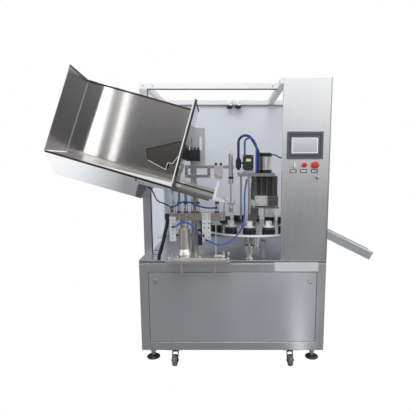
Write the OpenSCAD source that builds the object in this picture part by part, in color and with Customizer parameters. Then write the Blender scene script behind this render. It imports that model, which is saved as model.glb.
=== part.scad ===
// Tube filling machine: a cabinet on casters with an indexing turntable of tube holders,
// a tilted bin that feeds empty tubes, filling and sealing stations and a control column.
// Working frame: X to the right from the cabinet's middle, Y back from its front, Z up from the floor.

/* [Cabinet] */
// Width of the cabinet, left to right
cab_w = 1166; // [1140:2:1260]
// Depth of the cabinet, front to back
cab_d = 896; // [880:2:960]
// Height of the cabinet's underside above the floor
cab_z0 = 120; // [116:1:150]
// Height of the table top above the floor
table_z = 712; // [700:1:760]
// Side of the square frame tube
tube = 54; // [48:1:58]
// Wall of the frame tube
tube_wall = 3; // [2:0.5:5]
// Thickness of the table plate
table_t = 20; // [14:1:26]
// Thickness of the cabinet's sheet panels
sheet = 2; // [1.5:0.5:3]
// Depth of the folded edge of the front door
door_fold = 20; // [14:1:26]
// Gap round the front door
door_gap = 3; // [2:0.5:5]

/* [Guard and column] */
// Height of the top of the guard frame above the floor
top_z = 1803; // [1760:1:1900]
// Width of the guard posts and side rails
post_w = 50; // [40:1:56]
// Depth of the guard posts and cross rails
post_d = 40; // [30:1:46]
// Height of the guard rails
rail_h = 36; // [30:1:44]
// Distance of the front guard post from the cabinet's front
post_y = 166; // [160:1:185]
// Width of the control column
col_w = 286; // [276:1:292]
// Depth of the column's folded edges
col_fold = 24; // [16:1:30]
// Width of the operator panel
hmi_w = 215; // [190:1:225]
// Height of the operator panel
hmi_h = 161; // [140:1:180]
// Height of the operator panel's middle above the floor
hmi_z = 1414; // [1400:1:1440]
// Height of the row of switches above the floor
switch_z = 1299; // [1296:1:1306]
// Distance between the switches
switch_step = 64; // [56:1:68]
// Diameter of the emergency stop head
estop_d = 42; // [36:1:46]

/* [Tube bin] */
// Tilt of the tube bin, right end down
bin_tilt = 16.4; // [15:0.1:17]
// Length of the tube bin along its floor
bin_l = 740; // [720:1:760]
// Depth of the tube bin, front to back
bin_d = 300; // [280:1:306]
// Height of the tube bin's back plate
bin_h = 470; // [420:1:520]
// Lean of the bin's left wall
bin_lean = 4.4; // [2:0.1:6]
// Width of the feed chute between its side walls
feed_w = 216; // [190:1:220]
// Thickness of the bin's sheet
bin_t = 3; // [2:0.5:4]

/* [Turntable] */
// Number of tube holders
holders = 16; // [12:1:16]
// Radius of the circle of tube holders
holder_r = 315; // [305:1:320]
// Diameter of a tube holder
holder_d = 84; // [70:1:86]
// Height of a tube holder
holder_h = 42; // [34:1:46]
// Outer diameter of a holder's cup
cup_d = 40; // [36:1:46]
// Bore of a holder's cup
cup_bore = 30; // [24:1:32]
// Height of a holder's cup above its flange
cup_h = 34; // [28:1:36]
// Thickness of the turntable disc
disc_t = 14; // [10:1:18]
// Height of the disc's top above the table
disc_rise = 154; // [150:1:160]

/* [Stations] */
// Diameter of the fixed middle column
column_d = 60; // [50:1:62]
// Thickness of the station plate
plate_t = 19; // [14:1:24]
// Height of the station plate's top above the table
plate_rise = 536; // [530:1:545]
// Travel of the press rod
press_travel = 120; // [100:1:130]
// Travel of each sealing jaw
jaw_travel = 12; // [8:1:13]
// Diameter of the sealing motor
motor_d = 88; // [80:1:92]

/* [Discharge chute] */
// Slope of the discharge chute, right end down
chute_tilt = 26.3; // [24:0.1:28]
// Width of the discharge chute
chute_w = 110; // [90:1:120]
// Height of the discharge chute's walls
chute_h = 62; // [50:1:70]
// Length of the discharge chute
chute_l = 475; // [460:1:520]

/* [Casters and feet] */
// Diameter of a caster wheel
wheel_d = 75; // [70:1:78]
// Width of a caster wheel
wheel_w = 30; // [24:1:34]
// Offset of a caster wheel from its swivel
trail = 36; // [30:1:40]
// Distance of the casters from the cabinet's middle
caster_x = 376; // [340:1:390]
// Diameter of a levelling pad
pad_d = 84; // [70:1:90]
// Gap under a levelling pad when it is wound up
pad_lift = 60; // [50:1:62]

/* [Hidden] */
$fn = 48;
// Gap between pieces that touch on the real machine
fit = 0.3;
// Radial clearance of pins and shafts in their bores
run = 0.05;
half = cab_w / 2;
frame_top = table_z - table_t;
rail_z = top_z - rail_h;
col_x = half - col_w;
hmi_x = half - 152;
switch_x = hmi_x - switch_step - 1;

// Turntable centre, levels and stations
table_x = 139;
table_y = 391;
disc_r = holder_r + holder_d / 2;
disc_z = table_z + disc_rise;
hub_d = column_d + 40;
hub_z = 600;
station_0 = -5.9;
step = 360 / holders;
function station(k) = [
    table_x + holder_r * sin(station_0 + k * step),
    table_y - holder_r * cos(station_0 + k * step)];
load_p = station(-1);
fill_p = station(0);
seal_p = station(1);
cup_top = disc_z + holder_h + 5 + cup_h;
plate_z = table_z + plate_rise;
seal_x = 204;
seal_y = 140;

// Tube bin: front left rim corner, floor level and levels of the stand
bin_x = -1054;
bin_z = 1385;
bin_y0 = -bin_d / 2;
floor_w = -6;
feed_end = 978;
slide_end = 1050;
stand_x = -298;
stand_y = 10;
low_t = 19;
base_z = table_z + low_t + 8;
arm_z0 = 966;
arm_z1 = 1009;
arm_x0 = -382;
arm_x1 = -46;
arm_y0 = -30;
arm_y1 = 50;
cradle_z = 1080;
cradle_r = 20;
post_x = -258;
post_back = 255;
press_y = load_p[1] + 52;

// Discharge chute: inlet point of its floor
chute_x = 505;
chute_y = 290;
chute_z = 868;

// Casters and feet
caster_y = 62;
plate_under = 8;
caster_top = cab_z0 - plate_under;
foot_x = half - tube - 14;
foot_y = 27;

// Box of the whole machine, for placing the origin
x_lo = bin_x;
x_hi = chute_x + chute_l * cos(chute_tilt) + chute_h * sin(chute_tilt);
y_lo = bin_y0;
y_hi = max(cab_d, cab_d - foot_y + pad_d / 2);

// Routes of hoses and cables
upper_route = [[-355.8, -46, 1052], [-348, -46, 1053], [-334, -46, 1062], [-318, -46, 1073], [-300, -46, 1080],
    [-280, -46, 1082], [-260, -46, 1079], [-238, -46, 1072], [-218, -46, 1063], [-196, -46, 1055],
    [-170, -46, 1048], [-142, -46, 1045], [-116, -46, 1045], [-102.2, -46, 1045]];
mid_route = [[-355.8, -50, 930], [-348, -50, 931], [-336, -50, 938], [-322, -50, 949], [-306, -50, 956],
    [-288, -50, 958], [-270, -50, 955], [-254, -50, 947], [-240, -50, 934], [-227, -50, 917], [-214, -50, 900],
    [-202, -50, 887], [-191, -50, 879], [-182.2, -50, 877]];
loop_route = [[-153.8, -49, 848], [-146, -49, 846], [-133, -47, 838], [-118, -44, 829], [-100, -40, 822],
    [-80, -37, 818], [-60, -32, 819], [-40, -26, 824], [-18, -16, 834], [6, -4, 851], [30, 6, 874], [50, 13, 902],
    [64, 19, 935], [72, 30, 975], [74, 45, 1020], [74, 59, 1070], [76, 69, 1120], [81, 75, 1165], [85.5, 77.4, 1188],
    [85.5, 77.4, 1198.8]];
arch_route = [[36, 90, 1344.2], [36, 90, 1368.2], [36, 89.9, 1390.1], [36, 89.5, 1412.1],
    [36, 88.8, 1434], [37.5, 88.4, 1445.4], [41.9, 88, 1456], [48.9, 87.5, 1465.1], [58, 87, 1472.1],
    [68.6, 86.4, 1476.5], [80, 85.8, 1478], [91.4, 85.2, 1476.5], [102, 84.6, 1472.1],
    [111.1, 84, 1465.1], [118.1, 83.3, 1456], [150.6, 79.8, 1399.7], [154.7, 79.3, 1391.5],
    [157.6, 78.9, 1382.8], [159.4, 78.5, 1373.8], [160, 78.1, 1364.7], [160, 76.6, 1319.4],
    [160, 76, 1274.2], [160, 76, 1248.2]];
valve_route = [[74, 70, 1360.2], [74, 70, 1384.2], [74, 69.9, 1400.5], [74, 69.7, 1416.7],
    [74, 69.3, 1433], [75, 69.1, 1440.5], [77.9, 68.8, 1447.5], [82.5, 68.6, 1453.5],
    [88.5, 68.3, 1458.1], [95.5, 68, 1461], [103, 67.7, 1462], [110.5, 67.4, 1461], [117.5, 67, 1458.1],
    [123.5, 66.7, 1453.5], [128.1, 66.3, 1447.5], [140.6, 65.1, 1425.8], [143, 64.8, 1421.1],
    [144.6, 64.6, 1416.2], [145.7, 64.3, 1411], [146, 64, 1405.8], [146, 61.2, 1340], [146, 60, 1274.2],
    [146, 60, 1248.2]];
motor_route = [[seal_x + motor_d / 2 + 0.3, seal_y, plate_z + 114], [260, 140, plate_z + 114], [278, 140, 1356],
    [294, 139, 1347], [310, 135, 1342], [324, 127, 1339], [334, 116, 1338], [339, 108, 1338], [340, 104, 1338],
    [340, 100.2, 1338]];
feeder_route = [[-495.5, -60, 1168.4], [-484, -60, 1163], [-474, -60, 1148], [-465, -60, 1128],
    [-455, -60, 1106], [-443, -61, 1090], [-428, -62, 1081], [-408, -63, 1074], [-388, -64, 1066],
    [-372, -64, 1054], [-363, -64, 1040], [-362, -64, 1032.2]];
bundle_route = [[-400, 10, 969.7], [-400, 10, 955], [-405, 9, 930], [-414, 8, 896], [-424, 7, 852],
    [-436, 8, 806], [-448, 11, 768], [-457, 14, 742], [-460, 15, 726], [-460, 15, 712.3]];

// Puts the origin on the floor under the middle of the machine's box
module place() {
    translate([-(x_lo + x_hi) / 2, -(y_lo + y_hi) / 2, 0]) children();
}

// Block between two opposite corners
module block(a, b) {
    translate(a) cube(b - a);
}

// Square tube between two corners, open along one axis
module tube_bar(a, b, axis) {
    wall = [for (i = [0:2]) i == axis ? -1 : tube_wall];
    difference() {
        block(a, b);
        block(a + wall, b - wall);
    }
}

// Cylinder along X or Y from a start point
module rod_x(p, d, l) {
    translate(p) rotate([0, 90, 0]) cylinder(d = d, h = l);
}

module rod_y(p, d, l) {
    translate(p) rotate([-90, 0, 0]) cylinder(d = d, h = l);
}

module rod_z(p, d, l) {
    translate(p) cylinder(d = d, h = l);
}

// Upright ring
module ring_z(p, d, bore, l) {
    difference() {
        rod_z(p, d, l);
        rod_z(p - [0, 0, 1], bore, l + 2);
    }
}

// Plate standing in the X-Z plane, drawn as points of X and Z
module plate_xz(y, t, points) {
    translate([0, y + t, 0]) rotate([90, 0, 0]) linear_extrude(t) polygon(points);
}

// Plate standing in the Y-Z plane, drawn as points of Y and Z
module plate_yz(x, t, points) {
    translate([x, 0, 0]) rotate([90, 0, 90]) linear_extrude(t) polygon(points);
}

// Frame of the tilted bin: its own X runs down the floor, its Z stands square to it
module bin_place() {
    place() translate([bin_x, 0, bin_z]) rotate([0, bin_tilt, 0]) children();
}

// Frame of the discharge chute: its own X runs down the floor
module chute_place() {
    place() translate([chute_x, chute_y, chute_z]) rotate([0, chute_tilt, 0]) children();
}

// Round cord swept along a route, with flat ends
function unit(v) = v / norm(v);
function tangent(r, i) = unit(r[min(i + 1, len(r) - 1)] - r[max(i - 1, 0)]);
function side(t) = unit(cross(t, abs(t[1]) > 0.9 ? [1, 0, 0] : [0, 1, 0]));
function ring(r, i, d, n) = let (t = tangent(r, i), a = side(t), b = cross(t, a))
    [for (k = [0:n - 1]) r[i] + d / 2 * (a * cos(360 * k / n) + b * sin(360 * k / n))];

module cord(r, d, n = 8) {
    m = len(r);
    points = [for (i = [0:m - 1]) each ring(r, i, d, n)];
    caps = [[for (k = [0:n - 1]) k], [for (k = [n - 1:-1:0]) (m - 1) * n + k]];
    walls = [for (i = [0:m - 2], k = [0:n - 1])
        [i * n + k, (i + 1) * n + k, (i + 1) * n + (k + 1) % n, i * n + (k + 1) % n]];
    polyhedron(points, concat(caps, walls));
}

// Cabinet: welded tube frame with caster plates, foot bosses and door lugs
weld = 0.2;
hinge_x = 300;
hinge_y = 4.8;
hinge_d = 5;
corner_x = half - tube;
corner_y = cab_d - tube;
boss_h = 18;
foot_bolt = 16;

module foot_holes() {
    for (x = [-foot_x, foot_x], y = [foot_y, cab_d - foot_y])
        rod_z([x, y, cab_z0 - 1], foot_bolt + 2, tube_wall + 2);
}

module caster_mount(x, y) {
    king_d = 16;
    translate([x, y, 0]) {
        block([-50, -50, caster_top], [50, 50, cab_z0 - weld]);
        rod_z([0, 0, caster_top - 5], 46, 6);
        rod_z([0, 0, caster_top - 16], king_d, 12);
        rod_z([0, 0, caster_top - 20.6], king_d + 2.4, 5);
    }
}

module base_frame() color("gainsboro") place() {
    for (x = [-half, corner_x], y = [0, corner_y])
        tube_bar([x, y, cab_z0], [x + tube, y + tube, frame_top - fit], 2);
    difference() {
        for (y = [0, corner_y], z = [cab_z0, frame_top - tube - fit])
            tube_bar([-corner_x + weld, y, z], [corner_x - weld, y + tube, z + tube], 0);
        foot_holes();
    }
    for (x = [-half, corner_x], z = [cab_z0, frame_top - tube - fit])
        tube_bar([x, tube + weld, z], [x + tube, corner_y - weld, z + tube], 1);
    for (x = [-caster_x, caster_x], y = [caster_y, cab_d - caster_y]) caster_mount(x, y);
    for (x = [-foot_x, foot_x], y = [foot_y, cab_d - foot_y])
        translate([x, y, cab_z0 - boss_h - weld]) difference() {
            cylinder(d = 36, h = boss_h, $fn = 6);
            translate([0, 0, -1]) cylinder(d = foot_bolt + 2 * run, h = boss_h + 2);
        }
    for (x = [-hinge_x, hinge_x]) {
        block([x - 2, hinge_y - 2.5, cab_z0 + tube + weld], [x + 2, hinge_y + 6, door_z0 + hinge_y + 4]);
        rod_x([x - 10, hinge_y, door_z0 + hinge_y], hinge_d, 20);
    }
}

spindle_hole = 44;

module table_plate() color("silver") place() {
    difference() {
        block([-half, 0, frame_top], [half, cab_d, table_z]);
        rod_z([table_x, table_y, frame_top - 1], hub_d + 6, table_t + 2);
        rod_z([fill_p[0], fill_p[1], frame_top - 1], spindle_hole, table_t + 2);
    }
}

module cabinet_panels() color("lightgray") place() {
    z0 = cab_z0 + tube + fit;
    z1 = frame_top - tube - 2 * fit;
    for (x = [-half, half - sheet])
        difference() {
            block([x, tube + fit, z0], [x + sheet, corner_y - fit, z1]);
            for (y = [0.32, 0.68], k = [0:5])
                block([x - 1, cab_d * y - 70, z1 - 60 - 22 * k], [x + sheet + 1, cab_d * y + 70, z1 - 54 - 22 * k]);
        }
    block([-corner_x + fit, cab_d - sheet, z0], [corner_x - fit, cab_d, z1]);
    block([-corner_x + fit, tube + fit, z0 - 8], [corner_x - fit, corner_y - fit, z0 - 8 + sheet]);
}

// Guard: posts and top rails over the table, with two lamp bells on the back rail
gland_d = 50;

module gland(x) {
    r = gland_d / 2;
    translate([x, cab_d - post_d - fit - r - 2, rail_z - 34]) {
        rotate_extrude() polygon([[0, 4], [r - 12, 0], [r - 2, 8], [r, 14], [r, 24], [r - 4, 30], [r - 7, 34],
            [r - 7, 54], [r - 10, 62], [0, 64]]);
        block([-9, r - 9, 40], [9, r + 2, 58]);
    }
}

module guard_frame() color("whitesmoke") place() {
    back = cab_d - post_d;
    right = col_x - 17;
    block([-half, post_y, table_z], [-half + post_w, post_y + post_d, top_z]);
    for (x = [-half, half - post_w]) block([x, back, table_z], [x + post_w, cab_d, top_z]);
    block([half - post_w - sheet - fit, sheet + fit, table_z], [half - sheet - fit, sheet + fit + post_d, top_z - 4]);
    block([-half + post_w + fit, post_y, rail_z], [right - fit, post_y + post_d, top_z]);
    block([-half + post_w + fit, back, rail_z], [half - post_w - fit, cab_d, top_z]);
    block([-half, post_y + post_d + fit, rail_z], [-half + post_w, back - fit, top_z]);
    block([half - post_w, sheet + post_d + 2 * fit, rail_z], [half, back - fit, top_z]);
    block([right, sheet + fit, rail_z], [right + post_d, back - fit, top_z - 4]);
    side = -half + post_w / 2;
    block([side - 1.5, post_y + post_d + fit, table_z], [side + 1.5, back - fit, rail_z - fit]);
    for (x = [-24, 44]) gland(x);
}

module rear_guard_panel() color("aliceblue") place() {
    edge = half - post_w - fit;
    block([-edge, cab_d - post_d / 2 - 1.5, table_z], [edge, cab_d - post_d / 2 + 1.5, rail_z - fit]);
}

// Control column: folded front sheet with cut-outs, and the switch box behind it
hmi_body = [hmi_w - 24, hmi_h - 14];
barrel_d = 22;
key_x = half - 75;
key_z = switch_z - 75;
box_y0 = 46;
box_y1 = 100;

module switch_holes(y0, y1, d) {
    for (k = [0:2]) rod_y([switch_x + k * switch_step, y0, switch_z], d, y1 - y0);
    rod_y([key_x, y0, key_z], d, y1 - y0);
}

module control_column() color("silver") place() {
    difference() {
        block([col_x, 0, table_z], [half, sheet, top_z]);
        block([hmi_x - hmi_body[0] / 2 - fit, -1, hmi_z - hmi_body[1] / 2 - fit],
            [hmi_x + hmi_body[0] / 2 + fit, sheet + 1, hmi_z + hmi_body[1] / 2 + fit]);
        switch_holes(-1, sheet + 1, barrel_d + 2 * fit);
    }
    block([col_x, sheet + weld, table_z], [col_x + sheet, col_fold, rail_z - 2]);
    block([half - sheet, sheet + weld, table_z], [half, sheet + post_d, top_z]);
    block([col_x, sheet + weld, top_z - sheet], [half - sheet - weld, col_fold, top_z]);
    block([col_x + 26, box_y0, key_z - 60], [half - post_w - 8, box_y1, hmi_z + hmi_h / 2 + 50]);
}

module operator_panel() color("slategray") place() translate([hmi_x, 0, hmi_z]) {
    difference() {
        union() {
            block([-hmi_w / 2, -7, -hmi_h / 2], [hmi_w / 2, 0, hmi_h / 2]);
            block([-hmi_body[0] / 2, -1, -hmi_body[1] / 2], [hmi_body[0] / 2, box_y0, hmi_body[1] / 2]);
        }
        block([-hmi_w / 2 + 26, -8, -hmi_h / 2 + 34], [hmi_w / 2 - 30, -2, hmi_h / 2 - 34]);
    }
    block([-hmi_w / 2 + 26 + fit, -5, -hmi_h / 2 + 34 + fit], [hmi_w / 2 - 30 - fit, -2 - fit, hmi_h / 2 - 34 - fit]);
}

stem_d = 16;

module switch_collar(x, z) {
    difference() {
        union() {
            rod_y([x, -4, z], 30, 4);
            rod_y([x, -1, z], barrel_d, box_y0 + 1);
            rod_y([x, sheet + fit, z], 32, 7);
        }
        rod_y([x, -5, z], stem_d + 2 * run, box_y0 - 3);
    }
}

module switch_collars() color("silver") place() {
    for (k = [0:2]) {
        switch_collar(switch_x + k * switch_step, switch_z);
        translate([switch_x + k * switch_step - 3, -1.2, switch_z - 36])
            block([-20, 0, -11], [20, 1.2, 11]);
    }
    switch_collar(key_x, key_z);
}

// Push heads and turning knobs of the column
module estop_head() color("firebrick") place() translate([switch_x + 2 * switch_step, 0, switch_z]) rotate([90, 0, 0]) {
    translate([0, 0, -30]) cylinder(d = stem_d, h = 42);
    rotate_extrude() polygon([[0, 11], [estop_d / 2 - 7, 11], [estop_d / 2 - 3, 13], [estop_d / 2, 17],
        [estop_d / 2, 21], [estop_d / 2 - 2.5, 25], [estop_d / 2 - 8, 27.5], [0, 28.5]]);
}

module stop_button() color("firebrick") place() translate([switch_x + switch_step, 0, switch_z]) rotate([90, 0, 0]) {
    translate([0, 0, -30]) cylinder(d = stem_d, h = 38.5);
    rotate_extrude() polygon([[0, 8], [14.5, 8], [14.5, 11.5], [13, 13], [0, 14]]);
}

module selector_knob() color("dimgray") place() translate([switch_x, 0, switch_z]) rotate([90, 0, 0]) {
    translate([0, 0, -30]) cylinder(d = stem_d, h = 35);
    translate([0, 0, 4.3]) cylinder(d = 26, h = 4);
    block([-4, -14, 8], [4, 14, 20]);
}

module column_key() color("silver") place() translate([key_x, 0, key_z]) rotate([90, 0, 0]) {
    translate([0, 0, -30]) cylinder(d = stem_d, h = 36);
    block([-1, -6, 5], [1, 6, 20]);
    translate([-1.2, 0, 28]) rotate([0, 90, 0]) difference() {
        cylinder(d = 24, h = 2.4);
        translate([-5, 0, -1]) cylinder(d = 5, h = 5);
    }
}

// Tube bin: mirror back plate with outlet guide, side walls, front panel and floor with feed chute
wall_top = bin_h + 16;
gate_h = 62;
side_drop = 24;
lean = tan(bin_lean);

module bin_walls() color("lightgray") bin_place() {
    back = -bin_y0;
    rotate([0, bin_lean, 0])
        plate_yz(0, bin_t, [[bin_y0, 0], [back, 0], [back, wall_top - side_drop], [bin_y0, wall_top]]);
    plate_yz(bin_l - bin_t, bin_t, [[bin_y0, gate_h], [back, gate_h], [back, bin_h + 8], [bin_y0, bin_h + 34]]);
    for (y = [bin_y0, feed_w / 2 + bin_t + fit])
        block([bin_l - bin_t, y, -19], [bin_l, y - feed_w / 2 - bin_t - fit - bin_y0, gate_h - weld]);
    block([bin_l + fit, bin_y0, -19], [bin_l + 14, bin_y0 + bin_t, 118]);
    y = -bin_y0 - bin_t;
    plate_xz(y, bin_t, [[bin_t + fit, floor_w - bin_t], [bin_l - bin_t - fit, floor_w - bin_t],
        [bin_l - bin_t - fit, bin_h + 6], [(bin_h - 6) * lean + bin_t + 1, bin_h - 6], [bin_t + 1, 0]]);
    plate_xz(y - 44, bin_t, [[bin_l - 245, 157], [bin_l - 53, 262], [bin_l - bin_t - fit, 262],
        [bin_l - 68, 115], [bin_l - 98, 115], [bin_l - 98, 68], [bin_l - 218, 95]]);
    for (p = [[bin_l - 190, 130], [bin_l - 80, 220]])
        rod_y([p[0], y - 44 + bin_t + weld, p[1]], 12, 44 - bin_t - 2 * weld);
}

box_w0 = -34;
box_w1 = -113;

module bin_front_panel() color("silver") bin_place() {
    difference() {
        plate_xz(bin_y0, bin_t, [[fit, -fit], [bin_l - bin_t - fit, -fit], [bin_l - bin_t - fit, -19],
            [bin_l - 140, -36], [bin_l - 152, box_w1 + 1], [84, box_w1 - 2]]);
        rod_y([bin_l - 206, bin_y0 - 1, -19], 12, bin_t + 2);
        for (k = [0:2]) rod_y([bin_l - 184 + 12 * k, bin_y0 - 1, -26], 6, bin_t + 2);
    }
    y0 = bin_y0 + bin_t + fit;
    y1 = -bin_y0 - 40;
    u0 = 84;
    u1 = bin_l - 153;
    plate_xz(y0, y1 - y0, [[u0 + 2, box_w1 - 1], [u1 - 3, box_w1 + 1], [u1 - 3, box_w1 + 3], [u0 + 2, box_w1 + 1]]);
    plate_xz(y0, y1 - y0, [[u1, box_w1 + 1], [u1 + 12, box_w0], [u1 + 10, box_w0], [u1 - 2, box_w1 + 1]]);
    plate_xz(y0, y1 - y0, [[u0, box_w1 + 2], [26, box_w0], [28, box_w0], [u0 + 2, box_w1 + 2]]);
    plate_xz(y0, y1 - y0, [[30, box_w0 - 2], [u1 + 9, box_w0 - 2], [u1 + 9, box_w0], [30, box_w0]]);
    plate_xz(y1 + fit, 2, [[u0 - 2, box_w1 - 1], [u1, box_w1 + 1], [u1 + 12, box_w0], [26, box_w0]]);
}

module bin_floor() color("silver") bin_place() {
    low = floor_w - bin_t;
    block([bin_t + fit, bin_y0 + bin_t + fit, low], [bin_l - bin_t - fit, -bin_y0 - bin_t - fit, floor_w]);
    block([bin_l - bin_t, -feed_w / 2 + fit, low], [feed_end + 14, feed_w / 2 - fit, floor_w]);
    block([feed_end + 14 + fit, -60, low], [slide_end, 84, floor_w]);
    for (y = [-feed_w / 2 - bin_t, feed_w / 2])
        block([bin_l + fit, y, low], [feed_end, y + bin_t, 34]);
    for (y = [-feed_w / 2 - bin_t, feed_w / 2 - 12])
        block([feed_end + fit, y, floor_w + fit], [feed_end + 12, y + 12 + bin_t, 84]);
    block([feed_end + fit, -feed_w / 2 - bin_t, 84 + fit], [feed_end + 12, feed_w / 2 + bin_t, 96]);
    block([bin_l - 180, -20, low - 24], [feed_end - 20, 20, low - fit]);
}

// Stand: base plate with hanging pegs, turned pillar and the arm that carries the bin
module stand_base_plate() color("lightgray") place() {
    block([-402, -90, table_z], [-10, 110, table_z + low_t - weld]);
    block([-358, -56, table_z + low_t], [-36, 96, base_z]);
    for (x = [-309, -110]) rod_z([x, -70, table_z - 60], 14, 60 - weld);
}

module stand_pillar() color("silver") place() translate([stand_x, stand_y, 0]) {
    rotate_extrude() polygon([[0, base_z], [47, base_z], [47, base_z + 14], [43, base_z + 30], [36, base_z + 46],
        [36, 898], [38, 900], [38, 911], [24.5, 911], [24.5, arm_z0], [0, arm_z0]]);
}

module bin_arm() color("rosybrown") place() {
    block([arm_x0, arm_y0, arm_z0], [arm_x1, arm_y1, arm_z1]);
    pin_y = load_p[1];
    plate_x = load_p[0] - cradle_r - 25;
    plate_yz(plate_x, 6, [[5, arm_z1 + fit], [arm_y1, arm_z1 + fit], [pin_y + 18, cradle_z - 18],
        [pin_y + 18, cradle_z + 18], [pin_y - 10, cradle_z + 18], [pin_y - 16, cradle_z - 26], [5, cradle_z - 46]]);
    rod_x([plate_x + 3, pin_y, cradle_z], 10, 23);
}

// Loader: post behind the bin, its bars, and the cylinders that carry the feed chute
bar_t = 20;
bar_z1 = 1296;
bar_z0 = 1215;

module under_chute() {
    bin_place() block([0, -400, floor_w - bin_t - 24 - 2 * fit], [2000, 400, 400]);
}

module loader_frame() color("silver") {
    difference() {
        place() for (c = [[-362, 30], [-325, 22], [-285, 24], [-245, 18], [-212, 22], [-96, 24]]) {
            rod_z([c[0], 0, arm_z1], c[1], 70);
            rod_z([c[0], 0, arm_z1], c[1] / 2, 200);
        }
        under_chute();
    }
    place() {
        block([post_x - 20, post_back - 20, table_z], [post_x + 20, post_back + 20, 1540]);
        bar_y = post_back - 20 - fit - bar_t;
        for (z = [bar_z0, bar_z1 - bar_t])
            block([-312, bar_y, z], [z == bar_z0 ? -146 : load_p[0] + 20, bar_y + bar_t, z + bar_t]);
        for (x = [-312, -166])
            block([x, bar_y, bar_z0 + bar_t + fit], [x + bar_t, bar_y + bar_t, bar_z1 - bar_t - fit]);
        rod_z([-230, stand_y, base_z], 14, arm_z0 - base_z);
    }
}

elbow_d = 12;

module valve_manifold() color("black") place() {
    front = post_back - 20 - 4;
    block([-301, front - 46, 1323], [-211, front - fit, 1393]);
    for (k = [0:3]) {
        rod_z([-290 + 23 * k, front - 24, 1393], 13, 16);
        rod_y([-290 + 23 * k, front - 60, 1345], 13, 14.5);
    }
    rod_z([-202, 0, 810], 30, 96);
    rod_z([-202, 0, 905], 12, arm_z0 - 905);
    block([-214, 14, 870], [-190, 17, arm_z0]);
    for (e = [[-362, -52, 1052, -15], [-96, -52, 1045, -12], [-362, -70, 1026, -15], [-362, -56, 930, arm_y0 - 4],
        [-176, -56, 877, arm_y0 - 4], [-160, -55, 848, arm_y0 - 4]])
        rod_y([e[0], e[1], e[2]], elbow_d, e[3] - e[1] - weld);
    block([-413, -6, 970], [arm_x0 - fit, 26, 1004]);
}

module bracket_plates() color("white") place() {
    front = post_back - 20 - 4;
    difference() {
        block([-262, front, 1297], [-179, front + 4 - fit, 1536]);
        for (z = [1396, 1472]) rod_y([-208, front - 1, z], 14, 6);
        block([-215, front - 1, 1396], [-201, front + 5, 1472]);
    }
    difference() {
        block([-184, arm_y0 - 4, 840], [-133, arm_y0, 1014]);
        for (z = [862, 892, 922, 950], x = [-172, -145]) rod_y([x, arm_y0 - 5, z], 9, 6);
    }
    difference() {
        block([arm_x0, arm_y0 - 4, 841], [-343, arm_y0, 990]);
        for (z = [860, 885, 910]) rod_y([-362, arm_y0 - 5, z], 9, 6);
    }
    rod_z([-103, 0, base_z + 9 + weld], 6, 212);
    block([-112, -14, base_z], [-48, 14, base_z + 9]);
    block([-118, post_back - 20 - fit - bar_t - 40, 1209], [-64, post_back - 20 - bar_t - 2 * fit, 1295]);
}

// Drive: indexing gearbox under the table, and its motor
drive_w = 220;

module index_drive() color("dimgray") place() translate([table_x, table_y, 0]) {
    low = hub_z - 120;
    difference() {
        block([-drive_w / 2, -drive_w / 2, low], [drive_w / 2, drive_w / 2, frame_top]);
        rod_z([0, 0, hub_z], hub_d + 4, 400);
    }
    block([drive_w / 2 + weld, -60, low + 20], [drive_w / 2 + 110, 60, low + 140]);
    rod_x([drive_w / 2 + 110 + weld, 0, low + 80], 112, 150);
    rod_x([drive_w / 2 + 260 + 2 * weld, 0, low + 80], 104, 40);
}

// Turntable: disc with hollow hub, tube holders and their cups
lift_hole = 26;

module on_stations() {
    for (k = [0:holders - 1]) translate([station(k)[0], station(k)[1], disc_z]) children();
}

module turntable_disc() color("whitesmoke") place() {
    low = disc_z - disc_t;
    difference() {
        rod_z([table_x, table_y, low], 2 * disc_r, disc_t);
        rod_z([table_x, table_y, low - 1], column_d + 4, disc_t + 2);
        on_stations() rod_z([0, 0, -disc_t - 1], lift_hole + 4, disc_t + 2);
    }
    ring_z([table_x, table_y, disc_z + weld], hub_d + 40, column_d + 4, 14);
    ring_z([table_x, table_y, low - 20], hub_d + 60, column_d + 4, 20 - weld);
    ring_z([table_x, table_y, hub_z + fit], hub_d, column_d + 4, low - 20 - weld - hub_z - fit);
}

module tube_holders() color("black") place() on_stations() {
    r = holder_d / 2;
    s = lift_hole / 2 + 2 - fit;
    rotate_extrude() polygon([[0, -disc_t - 3], [s, -disc_t - 3], [s, 0], [r, 0], [r, holder_h - 12],
        [r - 3, holder_h - 9], [r - 3, holder_h - 2], [r - 5, holder_h], [lift_hole / 2, holder_h],
        [lift_hole / 2, holder_h - 11], [0, holder_h - 11]]);
}

module holder_cups() color("white") place() on_stations() {
    seat = holder_h + 5;
    difference() {
        union() {
            rod_z([0, 0, holder_h], holder_d - 16, 5);
            rod_z([0, 0, holder_h], cup_d, 5 + cup_h);
            rod_z([0, 0, holder_h - 10], lift_hole - 2 * fit, 11);
        }
        rod_z([0, 0, seat + 4], cup_bore, cup_h);
    }
}

// Stations: fixed column with plate, press, filling head and sealing unit
plate_x0 = 34;
plate_x1 = 262;
plate_y0 = 52;
cyl_d = 28;

module station_tower() color("gray") place() {
    rod_z([table_x, table_y, hub_z], column_d, plate_z - plate_t - fit - hub_z);
    difference() {
        block([plate_x0, plate_y0, plate_z - plate_t], [plate_x1, table_y + 60, plate_z]);
        rod_z([fill_p[0], fill_p[1], plate_z - plate_t - 1], cyl_d + 2, plate_t + 2);
    }
    rod_z([52, 64, cup_top + 14], 12, plate_z - plate_t - cup_top - 14 - weld);
    rod_z([table_x + 56, 76, table_z], 34, disc_z - disc_t - 26 - table_z);
}

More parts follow.
